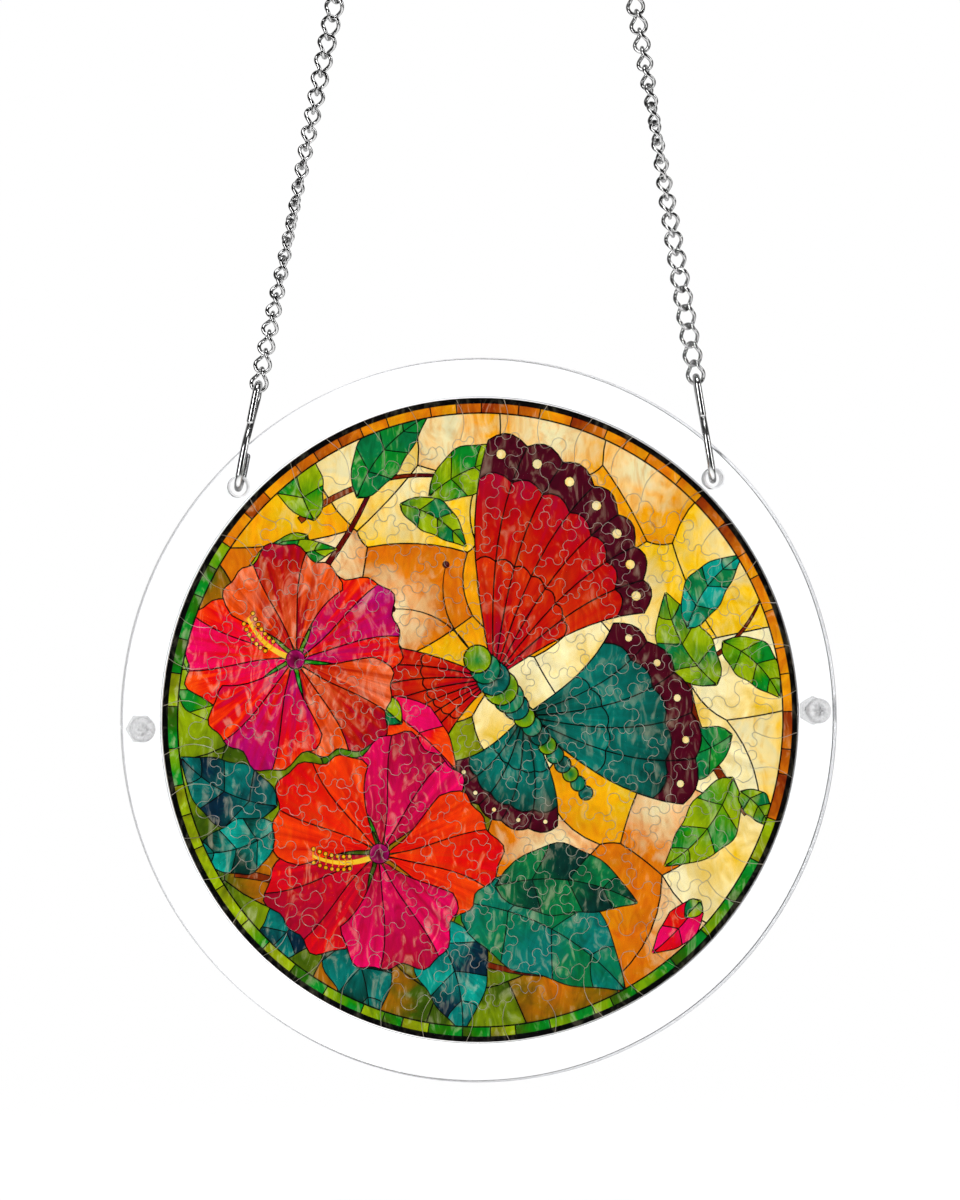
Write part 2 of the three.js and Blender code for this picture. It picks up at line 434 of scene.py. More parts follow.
def signed_area(outline: np.ndarray) -> float:
    """Returns an outline's area, positive when it runs counter-clockwise."""
    after = np.roll(outline, -1, axis=0)
    return float(np.sum(outline[:, 0] * after[:, 1] - after[:, 0] * outline[:, 1]) / 2)


def grown(outline: np.ndarray, distance: float, miter: float = 1.8) -> np.ndarray:
    """Moves a closed counter-clockwise outline outwards.

    Args:
        outline: Its points.
        distance: How far, negative for inwards.
        miter: The most that a sharp corner may run out, in distances.

    Returns:
        The moved points.
    """
    forward = np.roll(outline, -1, axis=0) - outline
    forward /= np.maximum(np.linalg.norm(forward, axis=1), 1e-9)[:, None]
    normal = np.stack([forward[:, 1], -forward[:, 0]], 1)
    both = normal + np.roll(normal, 1, axis=0)
    size = np.maximum(np.linalg.norm(both, axis=1), 1e-6)
    stretch = np.minimum(2 / size, miter)
    return outline + both / size[:, None] * stretch[:, None] * distance


def inside(points: np.ndarray, outline: np.ndarray) -> np.ndarray:
    """Tells which points lie inside an outline."""
    low, high = outline.min(0), outline.max(0)
    near = np.nonzero(np.all((points >= low) & (points <= high), axis=1))[0]
    result = np.zeros(len(points), bool)
    if not len(near):
        return result
    x, y = points[near, 0], points[near, 1]
    count = np.zeros(len(near), int)
    after = np.roll(outline, -1, axis=0)
    for (ax, ay), (bx, by) in zip(outline, after):
        if ay == by:
            continue
        crosses = (ay > y) != (by > y)
        count += crosses & (x < (bx - ax) * (y - ay) / (by - ay) + ax)
    result[near] = count % 2 == 1
    return result


def smooth_route(points: Sequence[Vector], steps: int) -> list[Vector]:
    """Runs a centripetal curve through points.

    Args:
        points: The points that it passes.
        steps: How many short steps lie between two of them.

    Returns:
        Points along the curve.
    """
    chain = [points[0] * 2 - points[1], *points, points[-1] * 2 - points[-2]]
    out = []
    for i in range(1, len(chain) - 2):
        group = chain[i - 1:i + 3]
        knots = [0.0]
        for one, other in zip(group, group[1:]):
            knots.append(knots[-1] + max((other - one).length, 1e-9) ** 0.5)
        for step in range(steps):
            t = knots[1] + (knots[2] - knots[1]) * step / steps
            level = list(group)
            for width in (1, 2):
                level = [low + (high - low) * ((t - knots[j]) / (knots[j + width] - knots[j]))
                         for j, (low, high) in enumerate(zip(level, level[1:]))]
            low, high = level
            out.append(low + (high - low) * ((t - knots[1]) / (knots[2] - knots[1])))
    out.append(points[-1].copy())
    return out


def bake_modifiers(piece: bpy.types.Object) -> None:
    """Makes the result of a piece's modifiers its mesh and takes them away."""
    graph = bpy.context.evaluated_depsgraph_get()
    mesh = bpy.data.meshes.new_from_object(piece.evaluated_get(graph), depsgraph=graph)
    piece.modifiers.clear()
    piece.data = mesh


@dataclass(frozen=True)
class DiscPlane:
    """The plane of the hanging disc: where its middle is and how far it is turned."""

    centre: Vector
    tilt: float

    @classmethod
    def from_frame(cls) -> "DiscPlane":
        """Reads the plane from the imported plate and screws."""
        across = middle("right_screw") - middle("left_screw")
        return cls(middle("front_plate"), math.atan2(across.z, across.x))

    def place(self, points: np.ndarray, depth: float | np.ndarray) -> np.ndarray:
        """Puts disc points, in millimetres, at a depth in metres.

        Args:
            points: Points to the right and up from the disc's middle.
            depth: Their y in the frame.

        Returns:
            Points in the frame, in metres.
        """
        cos, sin = math.cos(self.tilt), math.sin(self.tilt)
        out = np.empty((len(points), 3))
        out[:, 0] = self.centre.x + (points[:, 0] * cos - points[:, 1] * sin) * MM
        out[:, 1] = depth
        out[:, 2] = self.centre.z + (points[:, 0] * sin + points[:, 1] * cos) * MM
        return out


# Clear plates and ring


@dataclass
class ClearStack:
    """The clear plates and the ring between them, with polished faces and laser-cut rims."""

    plane: DiscPlane
    rim_points: int = 288
    hole_points: int = 40
    chamfer: float = 0.12
    rim_bevel: float = 0.24
    countersink: float = 0.5
    layer_gap: float = 0.02
    screw_hole: float = 4.6
    hook_hole: float = 5.0
    hook_hole_inset: float = 6.6
    hook_hole_angle: float = math.radians(44.6)
    ring_bore: float = 178.6

    def screw_places(self) -> list[Point]:
        """Returns the screws' places on the disc, left then right."""
        half = (middle("right_screw") - middle("left_screw")).length / 2 / MM
        return [(-half, 0.0), (half, 0.0)]

    def hook_places(self) -> list[Point]:
        """Returns the hook holes' places on the disc, left then right."""
        radius = self.plate_radius() - self.hook_hole_inset
        across, up = radius * math.cos(self.hook_hole_angle), radius * math.sin(self.hook_hole_angle)
        return [(-across, up), (across, up)]

    def plate_radius(self) -> float:
        """Returns the plates' radius in millimetres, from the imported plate."""
        low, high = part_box("front_plate")
        return (high[2] - low[2]) / 2 / MM

    def loops(self, bore: float | None) -> list[np.ndarray]:
        """Returns the outline and the holes of one layer."""
        holes = [circle(self.screw_hole / 2, self.hole_points, place) for place in self.screw_places()]
        holes += [circle(self.hook_hole / 2, self.hole_points, place) for place in self.hook_places()]
        if bore:
            holes.insert(0, circle(bore / 2, self.rim_points))
        return [circle(self.plate_radius(), self.rim_points), *holes]

    def layer(self, name: str, bore: float | None = None) -> bpy.types.Object:
        """Builds one layer with small chamfers along every edge; the outer bevel of a plate's outer face is
        frosted and tinted dark grey as painted shade.

        Args:
            name: The CAD node that it replaces, which gives its depth.
            bore: The width of its middle opening, or None.

        Returns:
            The piece.
        """
        low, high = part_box(name)
        front, back = low[1] + self.layer_gap * MM, high[1] - self.layer_gap * MM
        if name == "front_plate":
            front = low[1]
        if name == "back_plate":
            back = high[1]
        loops = self.loops(bore)
        small_holes = len(loops) - 3
        bevels = [-self.rim_bevel, *[self.chamfer] * small_holes, self.countersink, self.countersink]
        flats = [grown(loop, bevel) for loop, bevel in zip(loops, bevels)]
        inset = np.concatenate([np.full(len(loop), abs(bevel)) for loop, bevel in zip(loops, bevels)]) * MM
        flat, wall = np.concatenate(flats), np.concatenate(loops)
        rings = [(flat, front), (wall, front + inset), (wall, back - inset), (flat, back)]
        points = np.concatenate([self.plane.place(ring, depth) for ring, depth in rings])
        total = sum(len(loop) for loop in loops)
        faces, slots = [], []
        polished, rim, drilled, frosted_painted_shade = range(4)
        # The front plate's front bevel and the back plate's back bevel take the frosted dark grey finish, a
        # painted shade line along the rim.
        painted_shade_bevel_step = {"front_plate": 0, "back_plate": 2}.get(name)
        for a, b, c in self.flat_faces(flats):
            faces += [(a, b, c), (c + 3 * total, b + 3 * total, a + 3 * total)]
            slots += [polished, polished]
        start = 0
        for index, loop in enumerate(loops):
            count = len(loop)
            wall_slot = drilled if index > small_holes else rim
            for i in range(count):
                a, b = start + i, start + (i + 1) % count
                for step in range(3):
                    near, far = step * total, (step + 1) * total
                    quad = (a + near, a + far, b + far, b + near)
                    faces.append(quad if index == 0 else quad[::-1])
                    slots.append(frosted_painted_shade if index == 0 and step == painted_shade_bevel_step else wall_slot)
            start += count
        finishes = (Finish.POLISHED_FACE, Finish.CUT_RIM, Finish.DRILLED_WALL, Finish.SHADED_RIM_EDGE)
        return new_piece(f"clear_{name}", points.tolist(), faces, finishes, slots)

    @staticmethod
    def flat_faces(loops: list[np.ndarray]) -> list[tuple[int, int, int]]:
        """Cuts the flat between an outline and its holes into triangles."""
        points = np.concatenate(loops)
        edges, start = [], 0
        for loop in loops:
            edges += [(start + i, start + (i + 1) % len(loop)) for i in range(len(loop))]
            start += len(loop)
        made = delaunay_2d_cdt([Vector(p) for p in points], edges, [], 0, 1e-6)
        places, triangles = np.array([tuple(p) for p in made[0]]), made[2]
        source = [origin[0] for origin in made[3]]
        heart = places[np.array(triangles)].mean(1)
        keep = inside(heart, loops[0])
        for hole in loops[1:]:
            keep &= ~inside(heart, hole)
        return [tuple(source[i] for i in tri) for tri, kept in zip(triangles, keep) if kept]

    def build(self) -> None:
        """Builds the three layers."""
        bores = {"front_plate": None, "middle_ring": self.ring_bore, "back_plate": None}
        for name, bore in bores.items():
            hand_over(self.layer(name, bore), "clear_acrylic", name)


# The picture's design


class Tint(Enum):
    """Glass colours of the picture, as display colours."""

    CREAM = "#fcf0c0"
    STRAW = "#f7cf62"
    GOLD = "#eda01c"
    AMBER = "#d9720c"
    RUST = "#8f3208"
    OLIVE = "#77761a"
    MOSS = "#3f5a12"
    LIME = "#9db52e"
    LEAF = "#1f8c33"
    EMERALD = "#027a42"
    TEAL = "#037a70"
    PINE = "#03372f"
    SEA = "#1b9f8f"
    NAVY = "#06283c"
    CORAL = "#f4593a"
    SCARLET = "#df1320"
    CRIMSON = "#ab0730"
    WINE = "#4f051c"
    ROSE = "#ec2f6b"
    MAGENTA = "#b70f6e"
    BLUSH = "#f88c6a"
    FLAME = "#ee4a0c"
    LEAD = "#080706"

    def linear(self) -> tuple[float, float, float]:
        """Returns the colour as linear red, green and blue."""
        channels = (int(self.value[i:i + 2], 16) / 255 for i in (1, 3, 5))
        return tuple(c / 12.92 if c <= 0.04045 else ((c + 0.055) / 1.055) ** 2.4 for c in channels)


GROUND = (
    (22, ((Tint.CREAM, Tint.STRAW), (Tint.STRAW, Tint.CREAM), (Tint.CREAM, Tint.GOLD))),
    (-4, ((Tint.STRAW, Tint.GOLD), (Tint.GOLD, Tint.AMBER), (Tint.CREAM, Tint.AMBER))),
    (-30, ((Tint.GOLD, Tint.OLIVE), (Tint.LIME, Tint.OLIVE), (Tint.AMBER, Tint.OLIVE))),
    (-math.inf, ((Tint.LIME, Tint.MOSS), (Tint.OLIVE, Tint.LEAF), (Tint.AMBER, Tint.MOSS))),
)
WARM_TILES = ((Tint.GOLD, Tint.AMBER), (Tint.AMBER, Tint.GOLD), (Tint.AMBER, Tint.RUST))
GREEN_TILES = ((Tint.OLIVE, Tint.LIME), (Tint.LIME, Tint.LEAF), (Tint.MOSS, Tint.LEAF))


@dataclass
class Pane:
    """One pane of the picture: its outline on the disc and the two colours that run into each other."""

    outline: np.ndarray
    near: Tint
    far: Tint
    heart: Point
    reach: float
    grain: float = 0.0
    mottle: float = 1.0
    lead: float = 0.42
    tile: bool = False


def bow(start: Point, end: Point, bulge: float, count: int = 8) -> Outline:
    """Returns points on a bowed line, its end left out.

    Args:
        start: Where it starts.
        end: Where it ends.
        bulge: How far it bows to the left, in shares of its length.
        count: How many points.

    Returns:
        The points.
    """
    across, up = end[0] - start[0], end[1] - start[1]
    out = []
    for i in range(count):
        share = i / count
        rise = 4 * bulge * share * (1 - share)
        out.append((start[0] + across * share - up * rise, start[1] + up * share + across * rise))
    return out


def polar(centre: Point, angle: float, radius: float) -> Point:
    """Returns the point at an angle, in degrees, and a radius from a centre."""
    turn = math.radians(angle)
    return centre[0] + radius * math.cos(turn), centre[1] + radius * math.sin(turn)


def wall_cells(seeds: list[Point]) -> tuple[list[Point], list[tuple[int, int]], list[list[int]]]:
    """Finds the region nearest to each seed.

    Args:
        seeds: Points on the disc.

    Returns:
        The corners, the walls between corners, and the corners round each seed in order, which is
        empty at the edge.
    """
    made = delaunay_2d_cdt([Vector(seed) for seed in seeds], [], [], 0, 1e-6)
    places = [tuple(p) for p in made[0]]
    source = [origin[0] for origin in made[3]]
    corners: list[Point] = []
    around: dict[int, list[int]] = {}
    sides: dict[tuple[int, int], list[int]] = {}
    for index, (a, b, c) in enumerate(made[2]):
        (ax, ay), (bx, by), (cx, cy) = places[a], places[b], places[c]
        scale = 2 * (ax * (by - cy) + bx * (cy - ay) + cx * (ay - by))
        sa, sb, sc = ax * ax + ay * ay, bx * bx + by * by, cx * cx + cy * cy
        corners.append(((sa * (by - cy) + sb * (cy - ay) + sc * (ay - by)) / scale,
                        (sa * (cx - bx) + sb * (ax - cx) + sc * (bx - ax)) / scale))
        for one, other in ((a, b), (b, c), (c, a)):
            sides.setdefault((min(one, other), max(one, other)), []).append(index)
            around.setdefault(source[one], []).append(index)
    walls = [(pair[0], pair[1]) for pair in sides.values() if len(pair) == 2]
    edge_seeds = {source[v] for side, pair in sides.items() if len(pair) == 1 for v in side}
    rings = []
    for index, seed in enumerate(seeds):
        ring = [] if index in edge_seeds else around.get(index, [])
        ring = sorted(ring, key=lambda c: math.atan2(corners[c][1] - seed[1], corners[c][0] - seed[0]))
        rings.append(ring)
    return corners, walls, rings


@dataclass
class GlassDesign:
    """A generic stained-glass picture: a butterfly over wide blossoms and leaves, in a tiled border."""

    art_radius: float
    tile_width: float
    seed: int = 41
    seed_rings: tuple = ((12, 3), (36, 8), (60, 13), (80, 17), (118, 20))
    panes: list[Pane] = field(default_factory=list)

    def add(self, outline: Sequence, near: Tint, far: Tint, heart: Point, reach: float,
            **traits: float) -> None:
        """Adds a pane, its outline turned counter-clockwise."""
        shape = np.array(outline, float)
        if signed_area(shape) < 0:
            shape = shape[::-1].copy()
        self.panes.append(Pane(shape, near, far, heart, reach, **traits))

    def line(self, points: Outline, width: float, tint: Tint = Tint.LEAD) -> None:
        """Adds a thin band along points, such as a vein or a feeler."""
        path = np.array(points, float)
        forward = np.gradient(path, axis=0)
        forward /= np.linalg.norm(forward, axis=1)[:, None]
        side = np.stack([-forward[:, 1], forward[:, 0]], 1) * width / 2
        taper = np.linspace(1.0, 0.45, len(path))[:, None]
        band = np.concatenate([path + side * taper, (path - side * taper)[::-1]])
        self.add(band, tint, tint, tuple(path[0]), 10.0, mottle=0.3, lead=0.0)

    def background(self) -> None:
        """Adds the large panes behind everything, warm above and green below."""
        dice = random.Random(self.seed)
        seeds = []
        for ring, (radius, count) in enumerate(self.seed_rings):
            for i in range(count):
                angle = 360 * (i + 0.5 * (ring % 2)) / count + dice.uniform(-9, 9)
                seeds.append(polar((0, 0), angle, radius + dice.uniform(-4, 4)))
        corners, _, rings = wall_cells(seeds)
        bends: dict[tuple[int, int], float] = {}
        for ring, seed in zip(rings, seeds):
            if not ring:
                continue
            outline: Outline = []
            for one, other in zip(ring, ring[1:] + ring[:1]):
                key = (min(one, other), max(one, other))
                bend = bends.setdefault(key, dice.uniform(-0.16, 0.16))
                outline += bow(corners[one], corners[other], bend if key[0] == one else -bend, 6)
            near, far = self.zone(seed, dice)
            shift = (seed[0] + dice.uniform(-9, 9), seed[1] + dice.uniform(-9, 9))
            self.add(outline, near, far, shift, dice.uniform(14, 24), mottle=0.9)

    @staticmethod
    def zone(place: Point, dice: random.Random) -> tuple[Tint, Tint]:
        """Returns the colours of the background at a place."""
        warm = place[0] * 0.75 + place[1] * 0.8 + dice.uniform(-20, 20)
        return dice.choice(next(pairs for limit, pairs in GROUND if warm > limit))

    def leaf(self, base: Point, tip: Point, width: float, near: Tint, far: Tint, curl: float = 0.1,
             cells: int = 4) -> None:
        """Adds a leaf in two halves, each in panes between slanted side veins.

        Args:
            base: Where its stalk joins.
            tip: Its point.
            width: The widest reach of each half, in shares of its length.
            near: The colour along the rib.
            far: The colour at the edge.
            curl: How far the rib bows, in shares of its length.
            cells: How many panes a half has.
        """
        length = math.dist(base, tip)
        ux, uy = (tip[0] - base[0]) / length, (tip[1] - base[1]) / length

        def at(share: float, out: float) -> Point:
            """Returns the place at a share of the rib and a share of the half's width."""
            swell = math.sin(math.pi * share ** 0.8) ** 0.85 if 0 < share < 1 else 0.0
            off = curl * 4 * share * (1 - share) + out * width * swell * (1 + 0.05 * math.sin(19 * share))
            return base[0] + (ux * share - uy * off) * length, base[1] + (uy * share + ux * off) * length

        slant = 0.13
        for side in (1, -1):
            for cell in range(cells):
                low, high = cell / cells, (cell + 1) / cells
                veins = [share + slant * math.sin(math.pi * share) for share in (low, high)]
                rib = [at(low + (high - low) * i / 4, 0.0) for i in range(4)]
                up = [at(high + (veins[1] - high) * i / 3, side * i / 3) for i in range(3)]
                edge = [at(veins[1] + (veins[0] - veins[1]) * i / 6, side) for i in range(6)]
                down = [at(veins[0] + (low - veins[0]) * i / 3, side * (1 - i / 3)) for i in range(3)]
                tints = (near, far) if (cell + (side > 0)) % 2 else (far, near)
                heart = at(max(low - 0.1, 0.0), 0.0)
                self.add(rib + up + edge + down, *tints, heart, length * width * 1.3, grain=0.45, lead=0.34)

    def blossom(self, heart: Point, size: float, turn: float, tints: Sequence[tuple[Tint, Tint]]) -> None:
        """Adds a wide open blossom: five ruffled petals in panes that fan out from its heart.

        Args:
            heart: Its middle.
            size: Its radius.
            turn: The angle of its first petal.
            tints: The colours at the foot and at the edge of each petal in turn.
        """
        splits, foot = (-1.0, -0.36, 0.3, 1.0), 0.07
        for petal in (0, 2, 4, 1, 3):
            middle_turn = turn + 72 * petal

            def at(across: float, share: float) -> Point:
                """Returns the place at a share across the petal and a share of its length."""
                swell = 0.42 + 0.58 * share ** 0.6
                ruffle = 1 + 0.045 * math.sin(7.3 * across + 2 * petal) + 0.025 * math.sin(17 * across)
                reach = (0.7 + 0.3 * math.cos(across * math.pi / 2) ** 0.7) * ruffle
                angle = middle_turn + 45 * across * swell + 9 * math.sin(2.2 * share)
                return polar(heart, angle, size * share * reach)

            for pane, (left, right) in enumerate(zip(splits, splits[1:])):
                out = [at(left, foot + (1 - foot) * i / 9) for i in range(9)]
                rim = [at(left + (right - left) * i / 10, 1.0) for i in range(10)]
                back = [at(right, 1.0 - (1 - foot) * i / 9) for i in range(9)]
                near, far = tints[petal % len(tints)]
                if pane == 1:
                    near, far = far, near
                self.add(out + rim + back, near, far, heart, size * 1.05, grain=0.85, mottle=1.1, lead=0.36)
        self.stamens(heart, size, turn + 118)
        self.add(circle(size * 0.085, 14, heart), Tint.WINE, Tint.MAGENTA, heart, size * 0.1, lead=0.3)

    def stamens(self, heart: Point, size: float, angle: float) -> None:
        """Adds a blossom's long stalk, with small knobs on threads at both sides of its outer part."""
        tip = polar(heart, angle, size * 0.56)
        stalk = bow(heart, tip, 0.12, 10) + [tip]
        self.line(stalk, 1.7, Tint.STRAW)
        for i, place in enumerate(stalk[4:]):
            for side in (1, -1):
                spot = polar(place, angle + side * (62 + 6 * i), 1.9)
                self.line([place, spot], 0.35, Tint.GOLD)
                self.add(circle(0.62, 8, spot), Tint.STRAW, Tint.AMBER, spot, 1.0, lead=0.2)

    def bud(self, base: Point, tip: Point, near: Tint, far: Tint) -> None:
        """Adds a furled bud in a green cup."""
        self.leaf(base, tip, 0.24, near, far, 0.04, 2)
        cup = (base[0] * 0.68 + tip[0] * 0.32, base[1] * 0.68 + tip[1] * 0.32)
        self.leaf(base, cup, 0.42, Tint.EMERALD, Tint.LIME, 0.0, 1)

    def wing(self, root: Point, start: float, stop: float, size: float, cells: int, sweep: float,
             tints: tuple[Tint, Tint, Tint]) -> None:
        """Adds one wing as a fan of cells between curved veins.

        Args:
            root: Where it joins the body.
            start: The angle of its leading edge.
            stop: The angle of its trailing edge.
            size: Its length.
            cells: How many cells it has.
            sweep: How far the veins bend, in degrees.
            tints: Its colours at the root, in the middle and along the margin.
        """
        root_tint, middle_tint, margin_tint = tints
        bands = ((0.08, 0.5, root_tint, middle_tint), (0.5, 0.84, middle_tint, root_tint),
                 (0.84, 1.0, margin_tint, margin_tint))

        def at(cell: float, share: float) -> Point:
            """Returns the point of the fan at a cell and a share of the wing's length."""
            lobe = 1 - 0.3 * (cell / cells) ** 1.5 + 0.035 * math.sin(math.pi * (cell % 1))
            angle = start + (stop - start) * cell / cells + sweep * share ** 2
            return polar(root, angle, size * lobe * share)

        for cell in range(cells):
            for low, high, near, far in bands:
                inner = [at(cell + s / 4, low) for s in range(5)]
                side = [at(cell + 1, low + (high - low) * s / 4) for s in range(1, 4)]
                outer = [at(cell + 1 - s / 5, high) for s in range(6)]
                back = [at(cell, high - (high - low) * s / 4) for s in range(1, 4)]
                self.add(inner + side + outer + back, near, far, root, size * 0.9, grain=0.7, mottle=0.7)
            spot = at(cell + 0.5, 0.915)
            self.add(circle(size * 0.022, 9, spot), Tint.CREAM, Tint.STRAW, spot, 3.0, lead=0.2)

    def butterfly(self, place: Point, heading: float, size: float, far_share: float) -> None:
        """Adds a butterfly with open wings, seen a little from one side.

        Args:
            place: The middle of its body.
            heading: The way that it faces, in degrees.
            size: The length of a near front wing.
            far_share: The size of the far wings, in shares of the near ones.
        """
        for side in (1, -1):
            rear = polar(place, heading + 180, size * 0.1)
            fore = polar(place, heading, size * 0.1)
            share = 1.0 if side < 0 else far_share
            self.wing(rear, heading + side * 170, heading + side * 96, size * 0.78 * share, 5, -side * 12,
                      (Tint.PINE, Tint.SEA, Tint.WINE))
            self.wing(fore, heading + side * 28, heading + side * 96, size * share, 7, side * 10,
                      (Tint.CRIMSON, Tint.FLAME, Tint.WINE))
        tints = ((Tint.PINE, Tint.TEAL), (Tint.TEAL, Tint.EMERALD), (Tint.EMERALD, Tint.LIME))
        for index in range(15):
            along = -0.52 + 0.052 * index
            radius = 0.03 + 0.0018 * index + 0.024 * math.exp(-((along - 0.06) / 0.11) ** 2)
            heart = polar(place, heading, size * along)
            self.add(circle(size * radius, 18, heart), *tints[index % 3], heart, size * radius * 1.2,
                     grain=0.4)
        head = polar(place, heading, size * 0.27)
        for side in (1, -1):
            tip = polar(head, heading + side * 24, size * 0.36)
            self.line(bow(head, tip, -side * 0.14, 9) + [tip], 0.55)
            self.add(circle(size * 0.016, 8, tip), Tint.WINE, Tint.LEAD, tip, 2.0, mottle=0.2, lead=0.0)

    def border(self) -> None:
        """Adds the row of small tiles inside the black rim."""
        dice = random.Random(self.seed + 1)
        inner = self.art_radius
        outer = inner + self.tile_width
        angle, joint = 0.0, 0.12
        while angle < 358.0:
            step = min(dice.uniform(3.6, 9.0), 360.0 - angle)
            warm = math.cos(math.radians(angle + step / 2 - 62)) + dice.uniform(-0.35, 0.35)
            choices = WARM_TILES if warm > 0.1 else GREEN_TILES
            turns = [angle + joint + (step - 2 * joint) * i / 4 for i in range(5)]
            outline = [polar((0, 0), a, inner) for a in turns]
            outline += [polar((0, 0), a, outer) for a in turns[::-1]]
            self.add(outline, *dice.choice(choices), polar((0, 0), angle, outer), 9.0, lead=0.0, tile=True)
            angle += step

    def twig(self, start: Point, end: Point, bulge: float, width: float, tints: tuple[Tint, Tint]) -> None:
        """Adds a twig that tapers to its end."""
        path = np.array(bow(start, end, bulge, 14) + [end])
        forward = np.gradient(path, axis=0)
        forward /= np.linalg.norm(forward, axis=1)[:, None]
        taper = np.linspace(width, width * 0.3, len(path))[:, None] / 2
        side = np.stack([-forward[:, 1], forward[:, 0]], 1) * taper
        band = np.concatenate([path + side, (path - side)[::-1]])
        self.add(band, *tints, start, math.dist(start, end), lead=0.3)

    def draw(self) -> list[Pane]:
        """Draws the whole picture, from the back to the front."""
        self.background()
        twigs = (
            ((-80, 14), (-26, 74), -0.1, 2.6),
            ((-50, 56), (-2, 66), 0.12, 1.8),
            ((74, -28), (62, 40), 0.14, 2.4),
            ((62, 14), (80, 34), -0.1, 1.4),
            ((-70, -40), (-34, -60), 0.1, 2.2),
            ((-20, -58), (34, -70), -0.1, 2.2),
        )
        for start, end, bulge, width in twigs:
            self.twig(start, end, bulge, width, (Tint.RUST, Tint.WINE))
        leaves = (
            ((-48, 52), (-72, 34), 0.24, Tint.EMERALD, Tint.LIME),
            ((-46, 56), (-50, 82), 0.25, Tint.LEAF, Tint.LIME),
            ((-34, 62), (-14, 84), 0.22, Tint.EMERALD, Tint.LEAF),
            ((-14, 62), (14, 72), 0.22, Tint.LEAF, Tint.LIME),
            ((-22, 60), (-4, 48), 0.22, Tint.EMERALD, Tint.LIME),
            ((-62, 40), (-40, 48), 0.2, Tint.LEAF, Tint.LIME),
            ((66, 8), (52, 34), 0.26, Tint.EMERALD, Tint.LIME),
            ((68, 20), (84, 4), 0.26, Tint.LEAF, Tint.LIME),
            ((70, -6), (44, -12), 0.26, Tint.EMERALD, Tint.LEAF),
            ((70, -18), (50, -42), 0.24, Tint.LEAF, Tint.LIME),
            ((72, -22), (80, -32), 0.3, Tint.EMERALD, Tint.LIME),
            ((58, 24), (74, 44), 0.22, Tint.EMERALD, Tint.SEA),
            ((-58, -22), (-84, -8), 0.3, Tint.NAVY, Tint.TEAL),
            ((-58, -28), (-82, -34), 0.3, Tint.PINE, Tint.SEA),
            ((-50, -46), (-66, -64), 0.3, Tint.NAVY, Tint.TEAL),
            ((-44, -52), (-34, -84), 0.28, Tint.PINE, Tint.TEAL),
            ((-18, -54), (-8, -86), 0.3, Tint.NAVY, Tint.SEA),
            ((-8, -50), (38, -76), 0.27, Tint.EMERALD, Tint.TEAL),
            ((2, -46), (42, -52), 0.24, Tint.PINE, Tint.EMERALD),
            ((-70, 2), (-84, 22), 0.24, Tint.LEAF, Tint.LIME),
        )
        for base, tip, width, near, far in leaves:
            self.leaf(base, tip, width, near, far)
        self.butterfly((7, 6), 128, 66, 0.62)
        self.bud((-30, 6), (-8, -14), Tint.CORAL, Tint.ROSE)
        self.bud((60, -52), (46, -66), Tint.SCARLET, Tint.ROSE)
        warm = ((Tint.MAGENTA, Tint.CORAL), (Tint.CRIMSON, Tint.BLUSH), (Tint.ROSE, Tint.CORAL))
        deep = ((Tint.CRIMSON, Tint.ROSE), (Tint.SCARLET, Tint.CORAL), (Tint.CRIMSON, Tint.SCARLET))
        self.blossom((-52, 18), 31, 20, warm)
        self.blossom((-30, -36), 33, 62, deep)
        self.border()
        return self.panes


# The jigsaw


